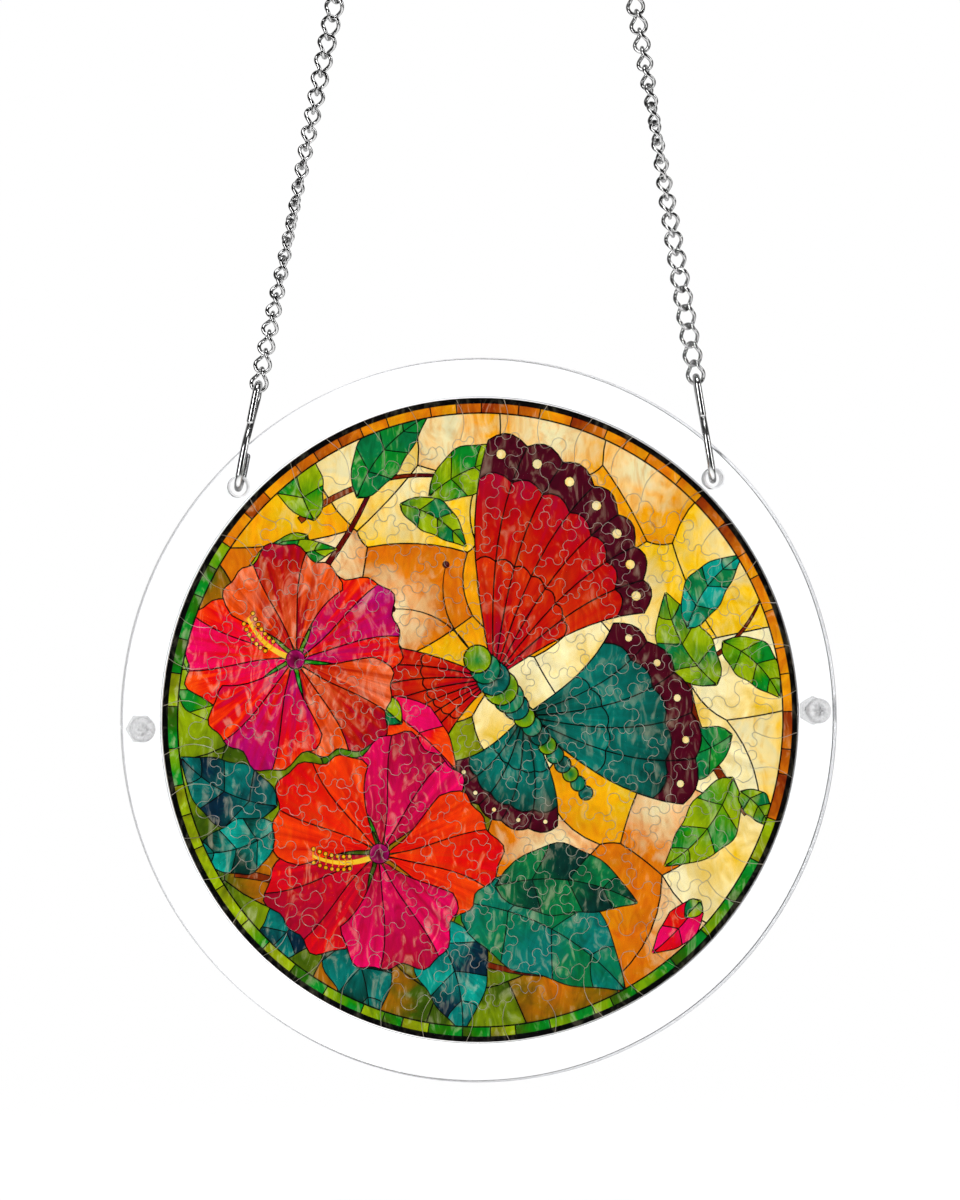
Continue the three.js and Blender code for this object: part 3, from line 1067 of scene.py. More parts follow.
@dataclass
class JigsawPicture:
    """The printed disc, cut into interlocking pieces with pale bevelled edges."""

    plane: DiscPlane
    rim_width: float = 1.6
    tile_width: float = 2.4
    tile_line: float = 0.45
    piece_pitch: float = 11.6
    rim_piece_count: int = 44
    rim_piece_share: float = 0.52
    inner_margin: float = 0.78
    row_spacing: float = 0.866
    shift: float = 1.5
    outside_seeds: int = 60
    plain_length: float = 4.2
    plain_wave: float = 0.07
    knob: float = 0.215
    knob_rise: float = 1.2
    shoulder: Point = (0.17, -0.05)
    half_kerf: float = 0.02
    bevel: float = 0.06
    bevel_depth: float = 0.12
    face_gap: float = 0.04
    seed: int = 7

    def radius(self) -> float:
        """Returns the disc's radius in millimetres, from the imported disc."""
        low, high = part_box("jigsaw_picture")
        return (high[2] - low[2]) / 2 / MM

    def cut_walls(self) -> list[Outline]:
        """Returns the cut lines between pieces: waves with round knobs, and plain waves to the rim."""
        dice = random.Random(self.seed)
        radius = self.radius()
        rim_ring = radius - self.piece_pitch * self.rim_piece_share
        seeds = [polar((0, 0), 360 * (i + dice.uniform(-0.12, 0.12)) / self.rim_piece_count, rim_ring)
                 for i in range(self.rim_piece_count)]
        seeds += [polar((0, 0), 360 * i / self.outside_seeds, radius * 1.3)
                  for i in range(self.outside_seeds)]
        rows = int(radius / self.piece_pitch / self.row_spacing) + 1
        for row in range(-rows, rows + 1):
            for column in range(-rows, rows + 1):
                x = (column + 0.5 * (row % 2)) * self.piece_pitch + dice.uniform(-self.shift, self.shift)
                y = row * self.piece_pitch * self.row_spacing + dice.uniform(-self.shift, self.shift)
                if math.hypot(x, y) < rim_ring - self.piece_pitch * self.inner_margin:
                    seeds.append((x, y))
        corners, walls, _ = wall_cells(seeds)
        lines = []
        for one, other in walls:
            start, end = corners[one], corners[other]
            if min(math.hypot(*start), math.hypot(*end)) > radius:
                continue
            outward = max(math.hypot(*start), math.hypot(*end)) > radius - 2.0
            plain = outward or math.dist(start, end) < self.plain_length
            lines.append(self.wavy(start, end, dice, plain))
        return lines

    def wavy(self, start: Point, end: Point, dice: random.Random, plain: bool) -> Outline:
        """Returns one cut line between two corners."""
        length = math.dist(start, end)
        side = dice.choice((-1, 1))
        if plain:
            shares = [step / 10 for step in range(11)]
            local = [(share, side * self.plain_wave * math.sin(2 * math.pi * share)) for share in shares]
        else:
            across, up = 0.5 + dice.uniform(-0.06, 0.06), self.knob * self.knob_rise
            turns = [math.radians(215 - 250 * i / 6) for i in range(7)]
            lobe = [Vector((across + self.knob * math.cos(t), up + self.knob * math.sin(t))) for t in turns]
            in_by, dip = self.shoulder
            guide = [Vector((0, 0)), Vector((in_by, dip)), *lobe, Vector((1 - in_by, dip)), Vector((1, 0))]
            local = [(point.x, side * point.y) for point in smooth_route(guide, 2)]
        ux, uy = (end[0] - start[0]) / length, (end[1] - start[1]) / length
        return [(start[0] + (ux * share - uy * rise) * length, start[1] + (uy * share + ux * rise) * length)
                for share, rise in local]

    def build(self) -> None:
        """Builds the pieces in three meshes: those along the rim and those inside it, left and right."""
        radius = self.radius()
        art_radius = radius - self.rim_width - self.tile_width
        panes = GlassDesign(art_radius, self.tile_width).draw()
        points, edges, cut_range, rim_range = self.drawing(panes, self.cut_walls(), radius, art_radius)
        made = delaunay_2d_cdt([Vector(p) for p in points], edges, [], 0, 1e-4)
        places = np.array([tuple(p) for p in made[0]])
        triangles = np.array(made[2])
        heart = places[triangles].mean(1)
        keep = np.hypot(heart[:, 0], heart[:, 1]) < radius
        triangles, heart = triangles[keep], heart[keep]
        barrier = set()
        for edge, origins in zip(made[1], made[4]):
            if any(origin in cut_range or origin in rim_range for origin in origins):
                barrier.add((min(edge), max(edge)))
        labels = self.paint(heart, panes, art_radius - self.tile_line)
        groups = self.group(triangles, barrier)
        LOG.info("jigsaw: %d triangles, %d pieces, %d panes", len(triangles), groups.max() + 1, len(panes))
        at_rim = np.zeros(groups.max() + 1, bool)
        near_rim = np.hypot(heart[:, 0], heart[:, 1]) > radius - self.rim_width
        at_rim[groups[near_rim]] = True
        left = np.array([heart[groups == group, 0].mean() < 0 for group in range(groups.max() + 1)])
        sets = (("jigsaw_rim_pieces", at_rim), ("jigsaw_left_pieces", ~at_rim & left),
                ("jigsaw_right_pieces", ~at_rim & ~left))
        for name, chosen in ((name, wanted[groups]) for name, wanted in sets):
            piece = self.cut_out(name, places, triangles[chosen], groups[chosen], labels[chosen],
                                 barrier, panes)
            hand_over(piece, "printed_acrylic", "jigsaw_picture")

    def drawing(self, panes: list[Pane], walls: list[Outline], radius: float,
                art_radius: float) -> tuple[list[Point], list[tuple[int, int]], range, range]:
        """Lays every line of the picture and every cut on the disc.

        Args:
            panes: The picture's panes.
            walls: The cut lines.
            radius: The disc's radius.
            art_radius: The radius inside the tiles.

        Returns:
            The points, the edges, and the ranges of edges that are cuts and that are the rim.
        """
        points: list[Point] = []
        edges: list[tuple[int, int]] = []

        def lay(path: Iterable[Point], closed: bool) -> None:
            """Adds a line that lies on the disc."""
            path = [tuple(p) for p in path]
            first = len(points)
            points.extend(path)
            last = len(path) if closed else len(path) - 1
            for i in range(last):
                one, other = path[i], path[(i + 1) % len(path)]
                if min(math.hypot(*one), math.hypot(*other)) < radius + 1:
                    edges.append((first + i, first + (i + 1) % len(path)))

        for pane in panes:
            if pane.lead:
                lay(grown(pane.outline, pane.lead / 2), True)
                lay(grown(pane.outline, -pane.lead / 2), True)
            else:
                lay(pane.outline, True)
        lay(circle(art_radius - self.tile_line, 240), True)
        cut_start = len(edges)
        for wall in walls:
            lay(wall, False)
        rim_start = len(edges)
        lay(circle(radius, 288), True)
        return points, edges, range(cut_start, rim_start), range(rim_start, len(edges))

    @staticmethod
    def paint(heart: np.ndarray, panes: list[Pane], art_radius: float) -> np.ndarray:
        """Says which pane each triangle belongs to, or -1 for black line."""
        labels = np.full(len(heart), -1)
        border = np.hypot(heart[:, 0], heart[:, 1]) > art_radius
        for index, pane in enumerate(panes):
            if pane.lead:
                labels[inside(heart, grown(pane.outline, pane.lead / 2)) & ~border] = -1
                labels[inside(heart, grown(pane.outline, -pane.lead / 2)) & ~border] = index
            else:
                found = inside(heart, pane.outline)
                labels[found if pane.tile else found & ~border] = index
        return labels

    @staticmethod
    def group(triangles: np.ndarray, barrier: set[tuple[int, int]]) -> np.ndarray:
        """Numbers the jigsaw piece of each triangle."""
        parent = list(range(len(triangles)))

        def root(i: int) -> int:
            """Finds the first triangle of a piece."""
            while parent[i] != i:
                parent[i] = parent[parent[i]]
                i = parent[i]
            return i

        owner: dict[tuple[int, int], int] = {}
        for index, (a, b, c) in enumerate(triangles.tolist()):
            for one, other in ((a, b), (b, c), (c, a)):
                key = (min(one, other), max(one, other))
                if key in barrier:
                    continue
                if key in owner:
                    parent[root(index)] = root(owner[key])
                else:
                    owner[key] = index
        roots = [root(i) for i in range(len(triangles))]
        number = {r: n for n, r in enumerate(dict.fromkeys(roots))}
        return np.array([number[r] for r in roots])

    def cut_out(self, name: str, places: np.ndarray, triangles: np.ndarray, groups: np.ndarray,
                labels: np.ndarray, barrier: set[tuple[int, int]], panes: list[Pane]) -> bpy.types.Object:
        """Makes one mesh of separate pieces, each with faces, bevels and walls.

        Args:
            name: The mesh's name.
            places: The drawing's points.
            triangles: The triangles of these pieces.
            groups: The piece of each triangle.
            labels: The pane of each triangle.
            barrier: The edges that are cut.
            panes: The picture's panes.

        Returns:
            The object.
        """
        size = len(places)
        keys, corners = np.unique(groups[:, None] * size + triangles, return_inverse=True)
        corners = corners.reshape(triangles.shape)
        spots = places[keys % size]
        rims, inward = [], np.zeros((len(keys), 2))
        for tri, own in zip(triangles.tolist(), corners.tolist()):
            for i in range(3):
                one, other = tri[i], tri[(i + 1) % 3]
                if (min(one, other), max(one, other)) in barrier:
                    rims.append((own[i], own[(i + 1) % 3]))
        ends = np.array(rims)
        forward = spots[ends[:, 1]] - spots[ends[:, 0]]
        forward /= np.maximum(np.linalg.norm(forward, axis=1), 1e-9)[:, None]
        normal = np.stack([-forward[:, 1], forward[:, 0]], 1)
        for column in (0, 1):
            np.add.at(inward, ends[:, column], normal)
        length = np.linalg.norm(inward, axis=1)
        on_cut = length > 1e-6
        inward[on_cut] /= length[on_cut, None]
        inward[on_cut] *= np.minimum(2 / np.maximum(length[on_cut], 0.3), 1.5)[:, None]
        wall = spots + inward * self.half_kerf
        flat = self.settled(spots, inward, corners)
        low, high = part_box("jigsaw_picture")
        front, back = low[1] + self.face_gap * MM, high[1] - self.face_gap * MM
        layers = [(flat, front), (wall, front + self.bevel_depth * MM), (wall, back)]
        points = np.concatenate([self.plane.place(layer, depth) for layer, depth in layers])
        total = len(keys)
        faces = corners.tolist()
        faces += [[c + 2 * total for c in tri[::-1]] for tri in corners.tolist()]
        slots = [0] * len(faces)
        for a, b in rims:
            faces += [(b, a, a + total, b + total), (b + total, a + total, a + 2 * total, b + 2 * total)]
            slots += [1, 1]
        piece = new_piece(name, points.tolist(), faces, (Finish.PRINT, Finish.PIECE_EDGE), slots)
        self.colour(piece.data, np.concatenate([labels, labels]), panes)
        return piece

    def settled(self, spots: np.ndarray, inward: np.ndarray, corners: np.ndarray) -> np.ndarray:
        """Moves the cut edges in by the bevel, less where a triangle would turn over."""
        inset = np.full(len(spots), self.half_kerf + self.bevel)
        for _ in range(12):
            moved = spots + inward * inset[:, None]
            a, b, c = (moved[corners[:, i]] for i in range(3))
            area = (b[:, 0] - a[:, 0]) * (c[:, 1] - a[:, 1]) - (b[:, 1] - a[:, 1]) * (c[:, 0] - a[:, 0])
            turned = np.unique(corners[area < 1e-6])
            if not len(turned):
                break
            inset[turned] *= 0.6
        return spots + inward * inset[:, None]

    def colour(self, mesh: bpy.types.Mesh, labels: np.ndarray, panes: list[Pane]) -> None:
        """Writes each face's pane colours for the printed finish."""
        dark = (*Tint.LEAD.linear(), 1.0)
        first = [(*pane.near.linear(), 1.0) for pane in panes] + [dark]
        second = [(*pane.far.linear(), 1.0) for pane in panes] + [dark]
        middles = np.array([pane.heart for pane in panes] + [(0.0, 0.0)])
        hearts = self.plane.place(middles, self.plane.centre.y)
        traits = [(pane.reach * MM, pane.grain, pane.mottle) for pane in panes] + [(0.05, 0.0, 0.2)]
        count = len(mesh.polygons)
        index = np.full(count, len(panes))
        index[:len(labels)] = np.where(labels < 0, len(panes), labels)
        tables = (("tint_a", "FLOAT_COLOR", "color", first), ("tint_b", "FLOAT_COLOR", "color", second),
                  ("heart", "FLOAT_VECTOR", "vector", hearts), ("traits", "FLOAT_VECTOR", "vector", traits))
        for name, kind, key, table in tables:
            values = np.array(table, np.float32)[index]
            mesh.attributes.new(name, kind, "FACE").data.foreach_set(key, values.ravel())


# Screws and nuts


@dataclass
class ScrewSet:
    """A clear plastic screw and its nut at each side of the stack."""

    plane: DiscPlane
    around: int = 48
    head_diameter: float = 7.0
    head_height: float = 2.4
    head_skirt: float = 0.9
    crown_share: float = 0.62
    dome_steps: int = 6
    shank_diameter: float = 4.0
    thread_pitch: float = 0.7
    thread_depth: float = 0.22
    recess_span: float = 4.4
    recess_width: float = 1.0
    recess_depth: float = 1.3
    recess_taper: tuple[float, float] = (0.45, 0.5)
    nut_chamfer: float = 0.45
    nut_corner: float = 1.02
    bore_gap: float = 0.05
    bore_chamfer: float = 0.3

    def ring(self, place: Vector, depth: float, radius: Callable[[float], float]) -> list[tuple]:
        """Returns points round a screw's axis at a depth, as far out as the radius at each angle."""
        angles = [2 * math.pi * i / self.around for i in range(self.around)]
        return [(place.x + radius(a) * math.cos(a) * MM, depth * MM, place.z + radius(a) * math.sin(a) * MM)
                for a in angles]

    def turned(self, profile: list[Point], place: Vector, name: str) -> bpy.types.Object:
        """Turns a profile of (radius, depth) round a screw's axis and closes its ends."""
        points, faces = [], []
        for radius, depth in profile:
            points += self.ring(place, depth, lambda _, radius=radius: radius)
        for row in range(len(profile) - 1):
            for i in range(self.around):
                a, b = row * self.around + i, row * self.around + (i + 1) % self.around
                faces.append((a, a + self.around, b + self.around, b))
        faces.append(tuple(range(self.around)))
        last = (len(profile) - 1) * self.around
        faces.append(tuple(last + i for i in reversed(range(self.around))))
        return new_piece(name, points, faces, (Finish.CLEAR_PLASTIC,))

    def screw(self, side: str) -> None:
        """Builds one screw: a domed head with a cross recess and a threaded shank."""
        low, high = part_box(f"{side}_screw")
        place = middle(f"{side}_screw")
        head_top, tail = low[1] / MM, high[1] / MM
        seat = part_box("front_plate")[0][1] / MM
        head, shank = self.head_diameter / 2, self.shank_diameter / 2
        crown, rise = self.crown_share, self.head_height - self.head_skirt
        bends = [math.pi / 2 * i / self.dome_steps for i in range(self.dome_steps + 1)]
        profile = [(head * (crown + (1 - crown) * math.sin(bend)), head_top + rise * (1 - math.cos(bend)))
                   for bend in bends]
        profile += [(head, seat - 0.15), (head - 0.12, seat), (shank + 0.1, seat)]
        depth, step = seat + 0.4, self.thread_pitch / 2
        while depth < tail - 0.9:
            profile += [(shank, depth), (shank - self.thread_depth, depth + step)]
            depth += self.thread_pitch
        profile += [(shank - 0.1, tail - 0.5), (shank * 0.7, tail)]
        piece = self.turned(profile, place, f"{side}_cross_head_screw")
        self.cut_recess(piece, place, head_top)
        hand_over(piece, "clear_plastic", f"{side}_screw")

    def cut_recess(self, piece: bpy.types.Object, place: Vector, head_top: float) -> None:
        """Cuts the cross out of a screw's head, its arms tapering inwards."""
        bottom_span, bottom_width = self.recess_taper
        mouth = (head_top - 0.5, self.recess_span, self.recess_width)
        bottom = (head_top + self.recess_depth, self.recess_span * bottom_span,
                  self.recess_width * bottom_width)
        for turn in (0.0, math.pi / 2):
            points = []
            for depth, span, width in (mouth, bottom):
                for x, z in ((-1, -1), (1, -1), (1, 1), (-1, 1)):
                    across, up = x * span / 2, z * width / 2
                    right = across * math.cos(turn) - up * math.sin(turn)
                    raised = across * math.sin(turn) + up * math.cos(turn)
                    points.append((place.x + right * MM, depth * MM, place.z + raised * MM))
            faces = [(0, 1, 2, 3), (7, 6, 5, 4), (0, 4, 5, 1), (1, 5, 6, 2), (2, 6, 7, 3), (3, 7, 4, 0)]
            cutter = new_piece("recess_arm", points, faces, (Finish.CLEAR_PLASTIC,))
            modifier = piece.modifiers.new("recess", "BOOLEAN")
            modifier.operation, modifier.object, modifier.solver = "DIFFERENCE", cutter, "EXACT"
            bake_modifiers(piece)
            bpy.data.objects.remove(cutter)

    def nut(self, side: str, turn: float) -> None:
        """Builds one hexagon nut with chamfered corners and an open bore."""
        low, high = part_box(f"{side}_nut")
        place = middle(f"{side}_nut")
        front, back = low[1] / MM, high[1] / MM
        corner = max(high[0] - low[0], high[2] - low[2]) / 2 / MM
        flat = corner * math.cos(math.pi / 6)
        count, points, faces = self.around, [], []

        def hexagon(angle: float) -> float:
            """Returns the distance to the nut's flats at an angle."""
            share = (angle - turn) % (math.pi / 3) - math.pi / 6
            return flat / math.cos(share)

        def turned_off(angle: float) -> float:
            """Returns the distance to the nut's face edge, where a cone takes the corners off."""
            return min(hexagon(angle), flat * self.nut_corner)

        bore = self.shank_diameter / 2 + self.bore_gap
        rings = ((lambda _: bore, front), (turned_off, front),
                 (hexagon, front + self.nut_chamfer), (hexagon, back - self.nut_chamfer),
                 (turned_off, back), (lambda _: bore + self.bore_chamfer, back),
                 (lambda _: bore, back - self.bore_chamfer))
        for radius, depth in rings:
            points += self.ring(place, depth, radius)
        for row in range(len(rings)):
            after = (row + 1) % len(rings)
            for i in range(count):
                a, b = i, (i + 1) % count
                faces.append((row * count + a, after * count + a, after * count + b, row * count + b))
        piece = new_piece(f"{side}_hexagon_nut", points, faces, (Finish.NUT_PLASTIC,), crease=25.0)
        hand_over(piece, "clear_plastic", f"{side}_nut")

    def build(self) -> None:
        """Builds both screws and both nuts."""
        for side, turn in (("left", 0.0), ("right", math.pi / 6)):
            self.screw(side)
            self.nut(side, turn + self.plane.tilt)


# Hooks, chains and ring


def wire_mesh(route: Sequence[Vector], radius: float, sides: int,
              closed: bool) -> tuple[list[Vector], list[tuple]]:
    """Sweeps a round wire along a flat or curved route.

    Args:
        route: Its points.
        radius: The wire's radius.
        sides: How many sides it has.
        closed: Whether it joins itself; otherwise its ends are rounded.

    Returns:
        Its vertices and its faces.
    """
    points, faces = [], []
    normal = Vector((1, 0, 0))
    spots, scales = list(route), [1.0] * len(route)
    if not closed:
        turns = (0.5, 1.0, 1.4)
        back, ahead = (spots[0] - spots[1]).normalized(), (spots[-1] - spots[-2]).normalized()
        first = [spots[0] + back * radius * math.sin(a) * 0.7 for a in reversed(turns)]
        last = [spots[-1] + ahead * radius * math.sin(a) * 0.7 for a in turns]
        spots = first + spots + last
        scales = [math.cos(a) for a in reversed(turns)] + scales + [math.cos(a) for a in turns]
    count = len(spots)
    for i, spot in enumerate(spots):
        before = spots[i - 1] if closed or i else spot
        after = spots[(i + 1) % count] if closed or i < count - 1 else spot
        along = (after - before).normalized()
        normal = (normal - along * normal.dot(along)).normalized()
        other = along.cross(normal)
        for j in range(sides):
            angle = 2 * math.pi * j / sides
            points.append(spot + (normal * math.cos(angle) + other * math.sin(angle)) * radius * scales[i])
    rows = count if closed else count - 1
    for i in range(rows):
        for j in range(sides):
            a, b = i * sides + j, i * sides + (j + 1) % sides
            c, d = ((i + 1) % count) * sides + j, ((i + 1) % count) * sides + (j + 1) % sides
            faces.append((a, b, d, c))
    if not closed:
        faces.append(tuple(reversed(range(sides))))
        faces.append(tuple((count - 1) * sides + j for j in range(sides)))
    return points, faces


# Each run of chain: its side, its links, the first link's turn in degrees and the half turns above it
RUNS = (("left", 64, -46, -3), ("right", 63, -35, 2))


@dataclass
class HangingLine:
    """One hook and the run of chain above it, on the straight line from its hole to the top ring."""

    side: str
    hole: Vector
    hole_inset: float
    links: int
    first_turn: float
    half_turns: int
    wire: float = 2.0
    reach: float = 28.8
    top_radius: float = 3.6
    plate_gap: float = 0.7
    seat: float = 0.4
    hook_turn: float = math.radians(11)
    front_leg_end: float = 18.0
    rear_leg_end: float = 9.0
    link_pitch: float = 5.2
    link_width: float = 5.7
    link_wire: float = 1.1
    link_twist: float = math.radians(-37)
    hanging_gap: float = 0.3
    bite: float = 0.12

    def matrix(self) -> Matrix:
        """Returns the place and lean of the line."""
        pull = middle("top_ring") - self.hole
        return Matrix.Translation(self.hole) @ Matrix.Rotation(math.atan2(pull.x, pull.z), 4, "Y")

    def hook_route(self) -> list[Vector]:
        """Returns the bent wire's route in its own plane."""
        half_stack = (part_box("back_plate")[1][1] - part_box("front_plate")[0][1]) / 2 / MM
        bottom = half_stack + self.plate_gap + self.wire / 2
        low, high = bottom - self.seat, self.reach - self.top_radius

        def arc(centre: float, radius: float, start: float, stop: float) -> list[Vector]:
            """Returns seven points on an arc."""
            turns = [math.radians(start + (stop - start) * i / 6) for i in range(7)]
            return [Vector((0, radius * math.cos(t), centre + radius * math.sin(t))) for t in turns]

        clear = self.hole_inset * 2 - self.wire
        between = (self.hole_inset * 2 + high) / 2
        return [
            Vector((0, bottom, self.rear_leg_end)),
            *arc(low, bottom, 0, -180),
            Vector((0, -bottom, clear)),
            Vector((0, 0, between)),
            *arc(high, self.top_radius, 0, 180),
            Vector((0, -self.top_radius, self.front_leg_end)),
        ]

    def hook(self) -> None:
        """Builds the hook."""
        route = [point * MM for point in smooth_route(self.hook_route(), 7)]
        points, faces = wire_mesh(route, self.wire / 2 * MM, 20, closed=False)
        piece = new_piece(f"{self.side}_s_hook", points, faces, (Finish.HOOK_STEEL,), crease=50.0)
        piece.data.transform(self.matrix() @ Matrix.Rotation(-self.hook_turn, 4, "Z"))
        hand_over(piece, "hook_steel", f"{self.side}_hook")

    def chain(self, tree: bpy.types.NodeTree) -> None:
        """Builds the run of links with the chain's node tree."""
        last_turn = math.pi * (self.half_turns + 0.5) - self.link_twist
        sizes = {
            "Links": self.links,
            "Pitch": self.link_pitch * MM,
            "Width": self.link_width * MM,
            "Wire": self.link_wire * MM,
            "Twist": self.link_twist,
            "First turn": self.first_turn + math.pi / 2,
            "Turn step": (last_turn - self.first_turn) / (self.links - 1),
        }
        piece = bpy.data.objects.new(f"{self.side}_curb_chain", bpy.data.meshes.new("links"))
        bpy.context.scene.collection.objects.link(piece)
        modifier = piece.modifiers.new("links", "NODES")
        modifier.node_group = tree
        for item in tree.interface.items_tree:
            if item.in_out == "INPUT" and item.name in sizes:
                modifier[item.identifier] = sizes[item.name]
        bake_modifiers(piece)
        start = self.reach - self.wire / 2 - self.hanging_gap - self.bite / 2
        upright = Matrix.Translation((0, 0, start * MM)) @ Matrix.Rotation(-math.pi / 2, 4, "Y")
        piece.data.transform(self.matrix() @ upright)
        hand_over(piece, "chain_nickel", f"{self.side}_chain")


def chain_tree(steps: int = 36, sides: int = 10, twist_share: float = 0.72,
               fullness: float = 0.3) -> bpy.types.NodeTree:
    """Makes the node tree of a run of twisted curb links along X.

    Args:
        steps: How many steps go round a link.
        sides: How many sides its wire has.
        twist_share: The share of a link's half length over which it twists.
        fullness: How much fuller than an ellipse its flanks are.

    Returns:
        The tree, whose inputs are the sizes of one run.
    """
    tree = bpy.data.node_groups.new("curb_chain", "GeometryNodeTree")
    tree.interface.new_socket("Geometry", in_out="OUTPUT", socket_type="NodeSocketGeometry")
    tree.interface.new_socket("Links", in_out="INPUT", socket_type="NodeSocketInt")
    for name in ("Pitch", "Width", "Wire", "Twist", "First turn", "Turn step"):
        tree.interface.new_socket(name, in_out="INPUT", socket_type="NodeSocketFloat")
    maker = NodeMaker(tree)
    given = maker.add("NodeGroupInput").outputs
    link = twisted_link(maker, given, steps, sides, twist_share, fullness)
    step = maker.add("ShaderNodeCombineXYZ", {0: given["Pitch"]})
    start = maker.add("ShaderNodeCombineXYZ", {0: maker.math("MULTIPLY", given["Pitch"], 0.5)})
    places = {"Count": given["Links"], "Start Location": start.outputs[0], "Offset": step.outputs[0]}
    row = maker.add("GeometryNodeMeshLine", places)
    index = maker.add("GeometryNodeInputIndex").outputs[0]
    roll = maker.math("ADD", given["First turn"], maker.math("MULTIPLY", index, given["Turn step"]))
    euler = maker.add("ShaderNodeCombineXYZ", {0: roll})
    turned = maker.add("FunctionNodeEulerToRotation", {0: euler.outputs[0]})
    copies = {"Points": row.outputs[0], "Instance": link, "Rotation": turned.outputs[0]}
    links = maker.add("GeometryNodeInstanceOnPoints", copies)
    real = maker.add("GeometryNodeRealizeInstances", {0: links.outputs[0]})
    smooth = maker.add("GeometryNodeSetShadeSmooth", {0: real.outputs[0]})
    look = {"Geometry": smooth.outputs[0], "Material": finish_of(Finish.CHAIN_NICKEL)}
    dressed = maker.add("GeometryNodeSetMaterial", look)
    maker.add("NodeGroupOutput", {0: dressed.outputs[0]})
    return tree


def twisted_link(maker: NodeMaker, given: bpy.types.NodeOutputs, steps: int, sides: int,
                 twist_share: float, fullness: float) -> bpy.types.NodeSocket:
    """Bends a circle into an oval link whose two halves are turned against each other.

    Args:
        maker: The maker of the chain's nodes.
        given: The tree's inputs.
        steps: How many steps go round a link.
        sides: How many sides its wire has.
        twist_share: The share of a link's half length over which it twists.
        fullness: How much fuller than an ellipse its flanks are.

    Returns:
        The link's mesh.
    """
    end_radius = maker.math("MULTIPLY", maker.math("SUBTRACT", given["Width"], given["Wire"]), 0.5)
    reach = maker.math("MULTIPLY", maker.math("ADD", given["Pitch"], given["Wire"]), 0.5)
    oval = maker.add("GeometryNodeCurvePrimitiveCircle", {"Resolution": steps, "Radius": end_radius})
    place = maker.add("GeometryNodeInputPosition").outputs[0]
    x, y, _ = maker.add("ShaderNodeSeparateXYZ", {0: place}).outputs
    along = maker.math("MULTIPLY", x, maker.math("DIVIDE", reach, end_radius))
    low, high = (maker.math("MULTIPLY", reach, share) for share in (-twist_share, twist_share))
    share = maker.spread(along, -1.0, 1.0, low, high)
    swing = maker.math("SINE", maker.math("MULTIPLY", share, math.pi / 2))
    turn = maker.math("MULTIPLY", given["Twist"], swing)
    slack = maker.math("SUBTRACT", 1.0, maker.math("DIVIDE", maker.math("ABSOLUTE", y), end_radius))
    out = maker.math("MULTIPLY", y, maker.math("MULTIPLY_ADD", slack, fullness, 1.0))
    moved = maker.add("ShaderNodeCombineXYZ", {
        0: along,
        1: maker.math("MULTIPLY", out, maker.math("COSINE", turn)),
        2: maker.math("MULTIPLY", out, maker.math("SINE", turn)),
    })
    route = {"Geometry": oval.outputs["Curve"], "Position": moved.outputs[0]}
    bent = maker.add("GeometryNodeSetPosition", route)
    round_wire = {"Resolution": sides, "Radius": maker.math("MULTIPLY", given["Wire"], 0.5)}
    section = maker.add("GeometryNodeCurvePrimitiveCircle", round_wire)
    swept = {"Curve": bent.outputs[0], "Profile Curve": section.outputs["Curve"]}
    return maker.add("GeometryNodeCurveToMesh", swept).outputs[0]


@dataclass
class TopRing:
    """The ring at the top, where both runs of chain meet."""

    wire: float = 2.0
    steps: int = 96
    sides: int = 18

    def build(self) -> None:
        """Builds the ring in the place of its CAD node."""
        low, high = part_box("top_ring")
        centre = middle("top_ring")
        radius = (high[2] - low[2]) / 2 - self.wire / 2 * MM
        turns = [2 * math.pi * i / self.steps for i in range(self.steps)]
        route = [centre + Vector((math.cos(t), 0, math.sin(t))) * radius for t in turns]
        points, faces = wire_mesh(route, self.wire / 2 * MM, self.sides, closed=True)
        piece = new_piece("round_top_ring", points, faces, (Finish.HOOK_STEEL,), crease=60.0)
        hand_over(piece, "hook_steel", "top_ring")


# Camera, light and floor


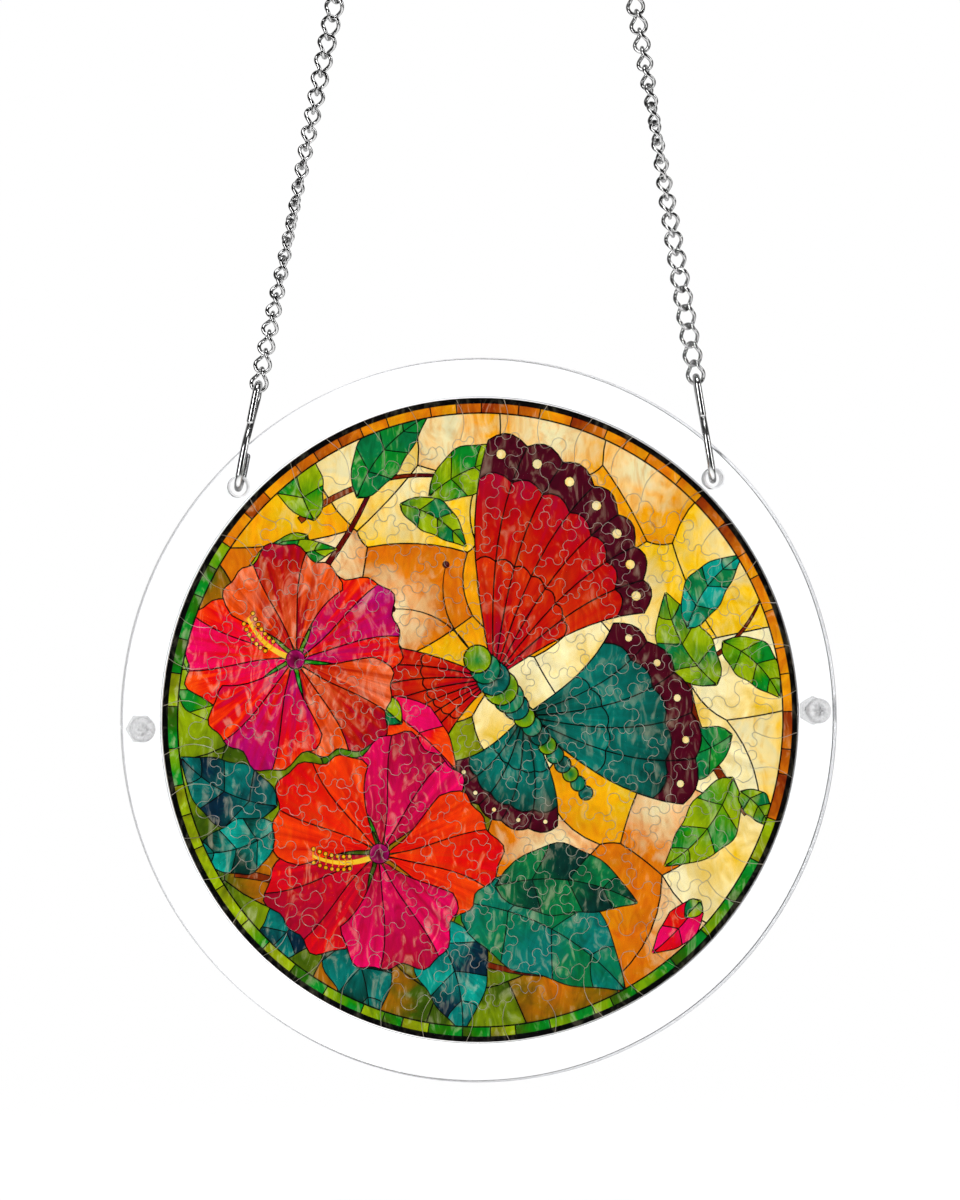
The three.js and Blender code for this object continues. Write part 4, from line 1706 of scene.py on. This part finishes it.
@dataclass
class Studio:
    """A plain pale floor, soft white light and the camera at the photograph's angle."""

    plane: DiscPlane
    azimuth: float = -9.6
    elevation: float = 1.5
    distance: float = 1.1
    aim_up: float = 0.0331
    aim_left: float = 0.0012
    lens: float = 119.5
    floor_drop: float = 0.12
    floor_radius: float = 1.1
    floor_fade: float = 0.12
    floor_corners: int = 96
    surround: float = 1.32
    dim: tuple[float, float] = (0.015, 0.62)
    dim_depth: tuple[float, float] = (0.2, 0.98)
    lamps: tuple = (
        ("left_strip", (-1.15, -1.2, 0.35), (0.3, 1.6), 16.0),
        ("right_strip", (1.4, -0.9, 0.35), (0.22, 1.6), 9.0),
        ("top", (0.1, -0.5, 1.8), (1.0, 0.6), 10.0),
    )

    def camera(self) -> None:
        """Sets the camera."""
        a, e = math.radians(self.azimuth), math.radians(self.elevation)
        back = Vector((math.sin(a) * math.cos(e), -math.cos(a) * math.cos(e), math.sin(e)))
        right = Vector((math.cos(a), math.sin(a), 0.0))
        target = self.plane.centre + Vector((0, 0, self.aim_up)) - right * self.aim_left
        data = bpy.data.cameras.new("camera")
        data.lens = self.lens
        data.sensor_width = 36.0
        data.clip_start, data.clip_end = 0.01, 50.0
        camera = bpy.data.objects.new("camera", data)
        camera.location = self.plane.centre + back * self.distance
        camera.rotation_euler = (target - camera.location).to_track_quat("-Z", "Y").to_euler()
        bpy.context.scene.collection.objects.link(camera)
        bpy.context.scene.camera = camera

    def lamp(self, name: str, place: Vector, size: tuple[float, float], power: float) -> None:
        """Adds a soft light that faces the disc, from a place given from the disc's middle."""
        data = bpy.data.lights.new(name, "AREA")
        data.shape = "RECTANGLE"
        data.size, data.size_y = size
        data.energy = power
        lamp = bpy.data.objects.new(name, data)
        lamp.location = self.plane.centre + place
        lamp.rotation_euler = (-place).to_track_quat("-Z", "Y").to_euler()
        bpy.context.scene.collection.objects.link(lamp)

    def world(self) -> None:
        """Sets a white surround, and a dim one for what glass and bright wire mirror."""
        world = bpy.data.worlds.new("white_surround")
        world.use_nodes = True
        bpy.context.scene.world = world
        maker = NodeMaker(world.node_tree)
        background = world.node_tree.nodes["Background"]
        direction = maker.add("ShaderNodeTexCoord").outputs["Generated"]
        depth = maker.add("ShaderNodeSeparateXYZ", {0: direction}).outputs[1]
        dim = maker.spread(depth, *self.dim, *self.dim_depth, interpolation_type="SMOOTHSTEP")
        ray = maker.add("ShaderNodeLightPath").outputs
        mirrored = maker.math("MULTIPLY", maker.math("GREATER_THAN", ray["Glossy Depth"], 0.5),
                              maker.math("LESS_THAN", ray["Diffuse Depth"], 0.5))
        unseen = maker.mix(mirrored, (*[self.surround] * 3, 1), dim)
        colour = maker.mix(ray["Is Camera Ray"], unseen, (1, 1, 1, 1))
        maker.link(colour, background, "Color")

    def floor(self) -> None:
        """Lays a round pale floor that fades into the surround."""
        height = CAD_BOX[0][2] - self.floor_drop
        centre = Vector((self.plane.centre.x, self.plane.centre.y, height))
        turns = [2 * math.pi * i / self.floor_corners for i in range(self.floor_corners)]
        points = [centre + Vector((math.cos(t), math.sin(t), 0)) * self.floor_radius for t in turns]
        mesh = bpy.data.meshes.new("floor")
        mesh.from_pydata(points, [], [tuple(range(self.floor_corners))])
        material, maker, shader = new_material("pale_floor")
        shader.inputs["Base Color"].default_value = (0.93, 0.93, 0.93, 1)
        shader.inputs["Roughness"].default_value = 0.22
        away = maker.add("ShaderNodeVectorMath", {0: maker.place(), 1: centre}, operation="DISTANCE")
        fade = maker.spread(away.outputs["Value"], 1.0, 0.0, self.floor_fade, self.floor_radius * 0.9,
                            interpolation_type="SMOOTHSTEP")
        maker.link(fade, shader, "Alpha")
        mesh.materials.append(material)
        floor = bpy.data.objects.new("floor", mesh)
        bpy.context.scene.collection.objects.link(floor)

    def build(self) -> None:
        """Sets the whole studio."""
        bpy.context.scene.view_settings.view_transform = "Standard"
        self.camera()
        self.world()
        self.floor()
        for name, place, size, power in self.lamps:
            self.lamp(name, Vector(place), size, power)


def main() -> None:
    """Builds the suncatcher and its studio."""
    logging.basicConfig(level=logging.INFO, format="%(name)s %(message)s")
    plane = DiscPlane.from_frame()
    Studio(plane).build()
    stack = ClearStack(plane)
    stack.build()
    JigsawPicture(plane).build()
    ScrewSet(plane).build()
    tree = chain_tree()
    for (side, links, first_turn, half_turns), spot in zip(RUNS, stack.hook_places()):
        hole = Vector(plane.place(np.array([spot]), middle("middle_ring").y)[0])
        line = HangingLine(side, hole, stack.hook_hole_inset, links, math.radians(first_turn), half_turns)
        line.hook()
        line.chain(tree)
    TopRing().build()


if __name__ == "__main__":
    main()
